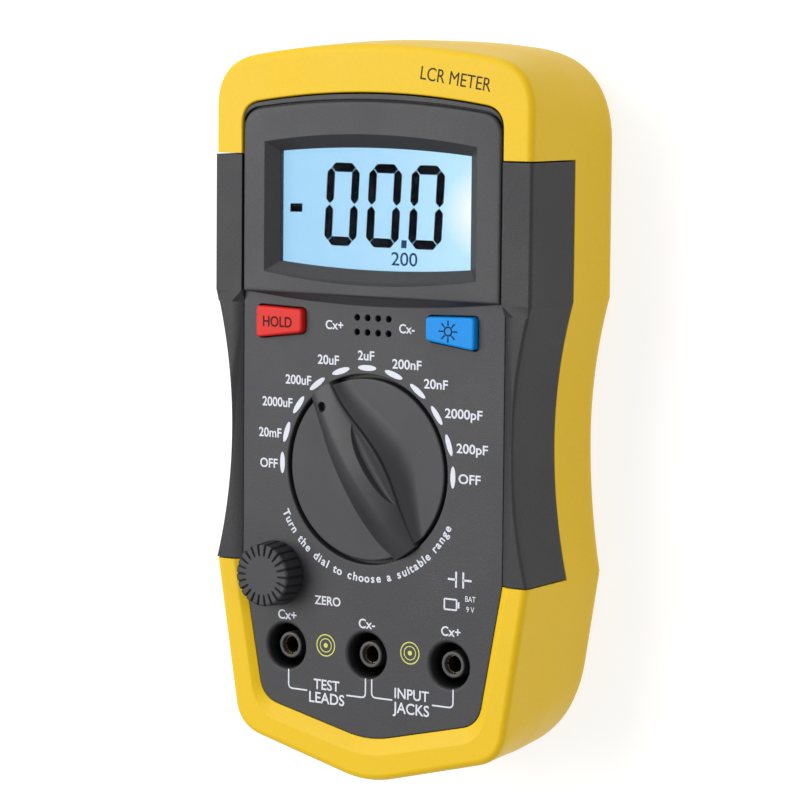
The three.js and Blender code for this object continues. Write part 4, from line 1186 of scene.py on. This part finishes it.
# ---- back: cover, stand and screws
def battery_cover():
    rings = []
    corners = [(-28.6, 34), (28.6, 34), (28.6, 70), (-28.6, 70)]
    for grow, z in ((0.35, 0.0), (0.1, 0.12), (0.0, 0.35), (0.0, 2.2)):
        shrunk = [(x - grow * np.sign(x), y + grow * (1 if y < 50 else -1)) for x, y in corners]
        rings.append(at_height(rounded_polygon(shrunk, 1.2), z))
    cover = loft(rings)
    tools = [turned([(3.1, -1), (2.4, 0.9), (1.5, 1.0), (1.5, 5)], -2.4, 36.6, 32)]
    for i in range(5):
        y = 62 + i * 1.5
        tools.append(box(-9, 9, y, y + 0.7, -1, 0.45, edge=0.15))
    return carve(cover, *tools)


def tilt_stand():
    plate = box(-26, 26, -52, 17, 0.9, 3.5, edge=0.5)
    stand = add(plate, hinge_rod(1.3, 26), hinge_rod(1.2, 28.2))
    tools = [box(-15, 15, -38, 3, -1, 8)]
    for side in (-1, 1):
        tools.append(box(*sorted((side * 18, side * 23)), -46, 11, -1, 1.3, edge=0.2))
    for i in range(4):
        tools.append(box(-9, 9, -50.5 + i * 2, -49.6 + i * 2, -1, 1.25, edge=0.12))
    return carve(stand, *tools)


def cross_screw(x, y, low, head, shank_top, shank):
    profile = [(head - 0.35, low), (head - 0.1, low + 0.12), (head, low + 0.4), (head, low + 1.9)]
    profile += [(shank, low + 1.95), (shank, shank_top)]
    screw = turned(profile, x, y, 40)
    arm = head * 0.58
    slots = crossed(x, y, arm, 0.38, low - 1, low + 1.0)
    pit = turned([(0.95, low - 0.5), (0.75, low + 0.5), (0.1, low + 1.4)], x, y, 16)
    return carve(screw, *slots, pit)


finish_piece(battery_cover(), "bay_cover", "case", YELLOW, ["battery_cover"])
finish_piece(tilt_stand(), "back_stand", "stand", BLACK, ["tilt_stand"])
for index, (x, y) in enumerate(CASE_SCREWS, 1):
    screw = cross_screw(x, y, 1.0, 2.9, 22, 1.4)
    finish_piece(screw, f"body_screw_{index}", "case", STEEL, [f"case_screw_{index}"])


# ---- camera, light and floor
def camera():
    eye = Vector((458.169875, 88.16128, 728.77317)) * MM
    forward = Vector((-0.54299, -0.10170, -0.83356)).normalized()
    up = Vector((-0.06303, 0.99478, -0.08031))
    right = forward.cross(up).normalized()
    up = right.cross(forward)
    data = bpy.data.cameras.new("camera")
    data.lens = 157.04
    data.sensor_width = 36
    data.clip_start = 0.01
    data.clip_end = 20
    obj = linked(data)
    obj.name = "camera"
    basis = Matrix((right, up, -forward)).transposed().to_4x4()
    basis.translation = eye
    obj.matrix_world = basis
    scene.camera = obj


def softbox(name, place, target, size, power):
    data = bpy.data.lights.new(name, "AREA")
    data.shape = "RECTANGLE"
    data.size, data.size_y = size
    data.energy = power
    obj = linked(data)
    obj.name = name
    obj.location = place
    direction = Vector(target) - Vector(place)
    obj.rotation_euler = direction.to_track_quat("-Z", "Y").to_euler()


def floor():
    half = 3.0
    corners = [(-half, -half, 0), (half, -half, 0), (half, half, 0), (-half, half, 0)]
    obj = new_object(corners, [(0, 1, 2, 3)])
    obj.name = "floor"
    material, tree, shader = nodes_of(
        "pale_floor", Emission_Color=(1, 1, 1, 1), Emission_Strength=0.76,
        Roughness=0.9, Specular_IOR_Level=0.1,
    )
    noise = speckle(tree, 4.0, 2.0)
    graded(tree, noise, (0.3, (0.30,) * 3), (0.7, (0.32,) * 3), shader, "Base Color")
    obj.data.materials.append(material)


def sky():
    world = bpy.data.worlds.new("studio")
    world.use_nodes = True
    background = world.node_tree.nodes["Background"]
    preset(background, {"Color": (1.0, 1.0, 1.0, 1), "Strength": 0.56})
    scene.world = world


camera()
floor()
sky()
softbox("key", (-0.70, 0.25, 1.06), (0, 0.02, 0.02), (1.0, 1.0), 16.5)
softbox("top", (-0.55, 1.2, 0.72), (0, 0, 0.02), (1.1, 0.7), 6)
softbox("side", (1.35, 0.1, 0.55), (0, 0, 0.02), (1.0, 0.8), 3.2)
scene.view_settings.view_transform = "Standard"
scene.view_settings.look = "None"
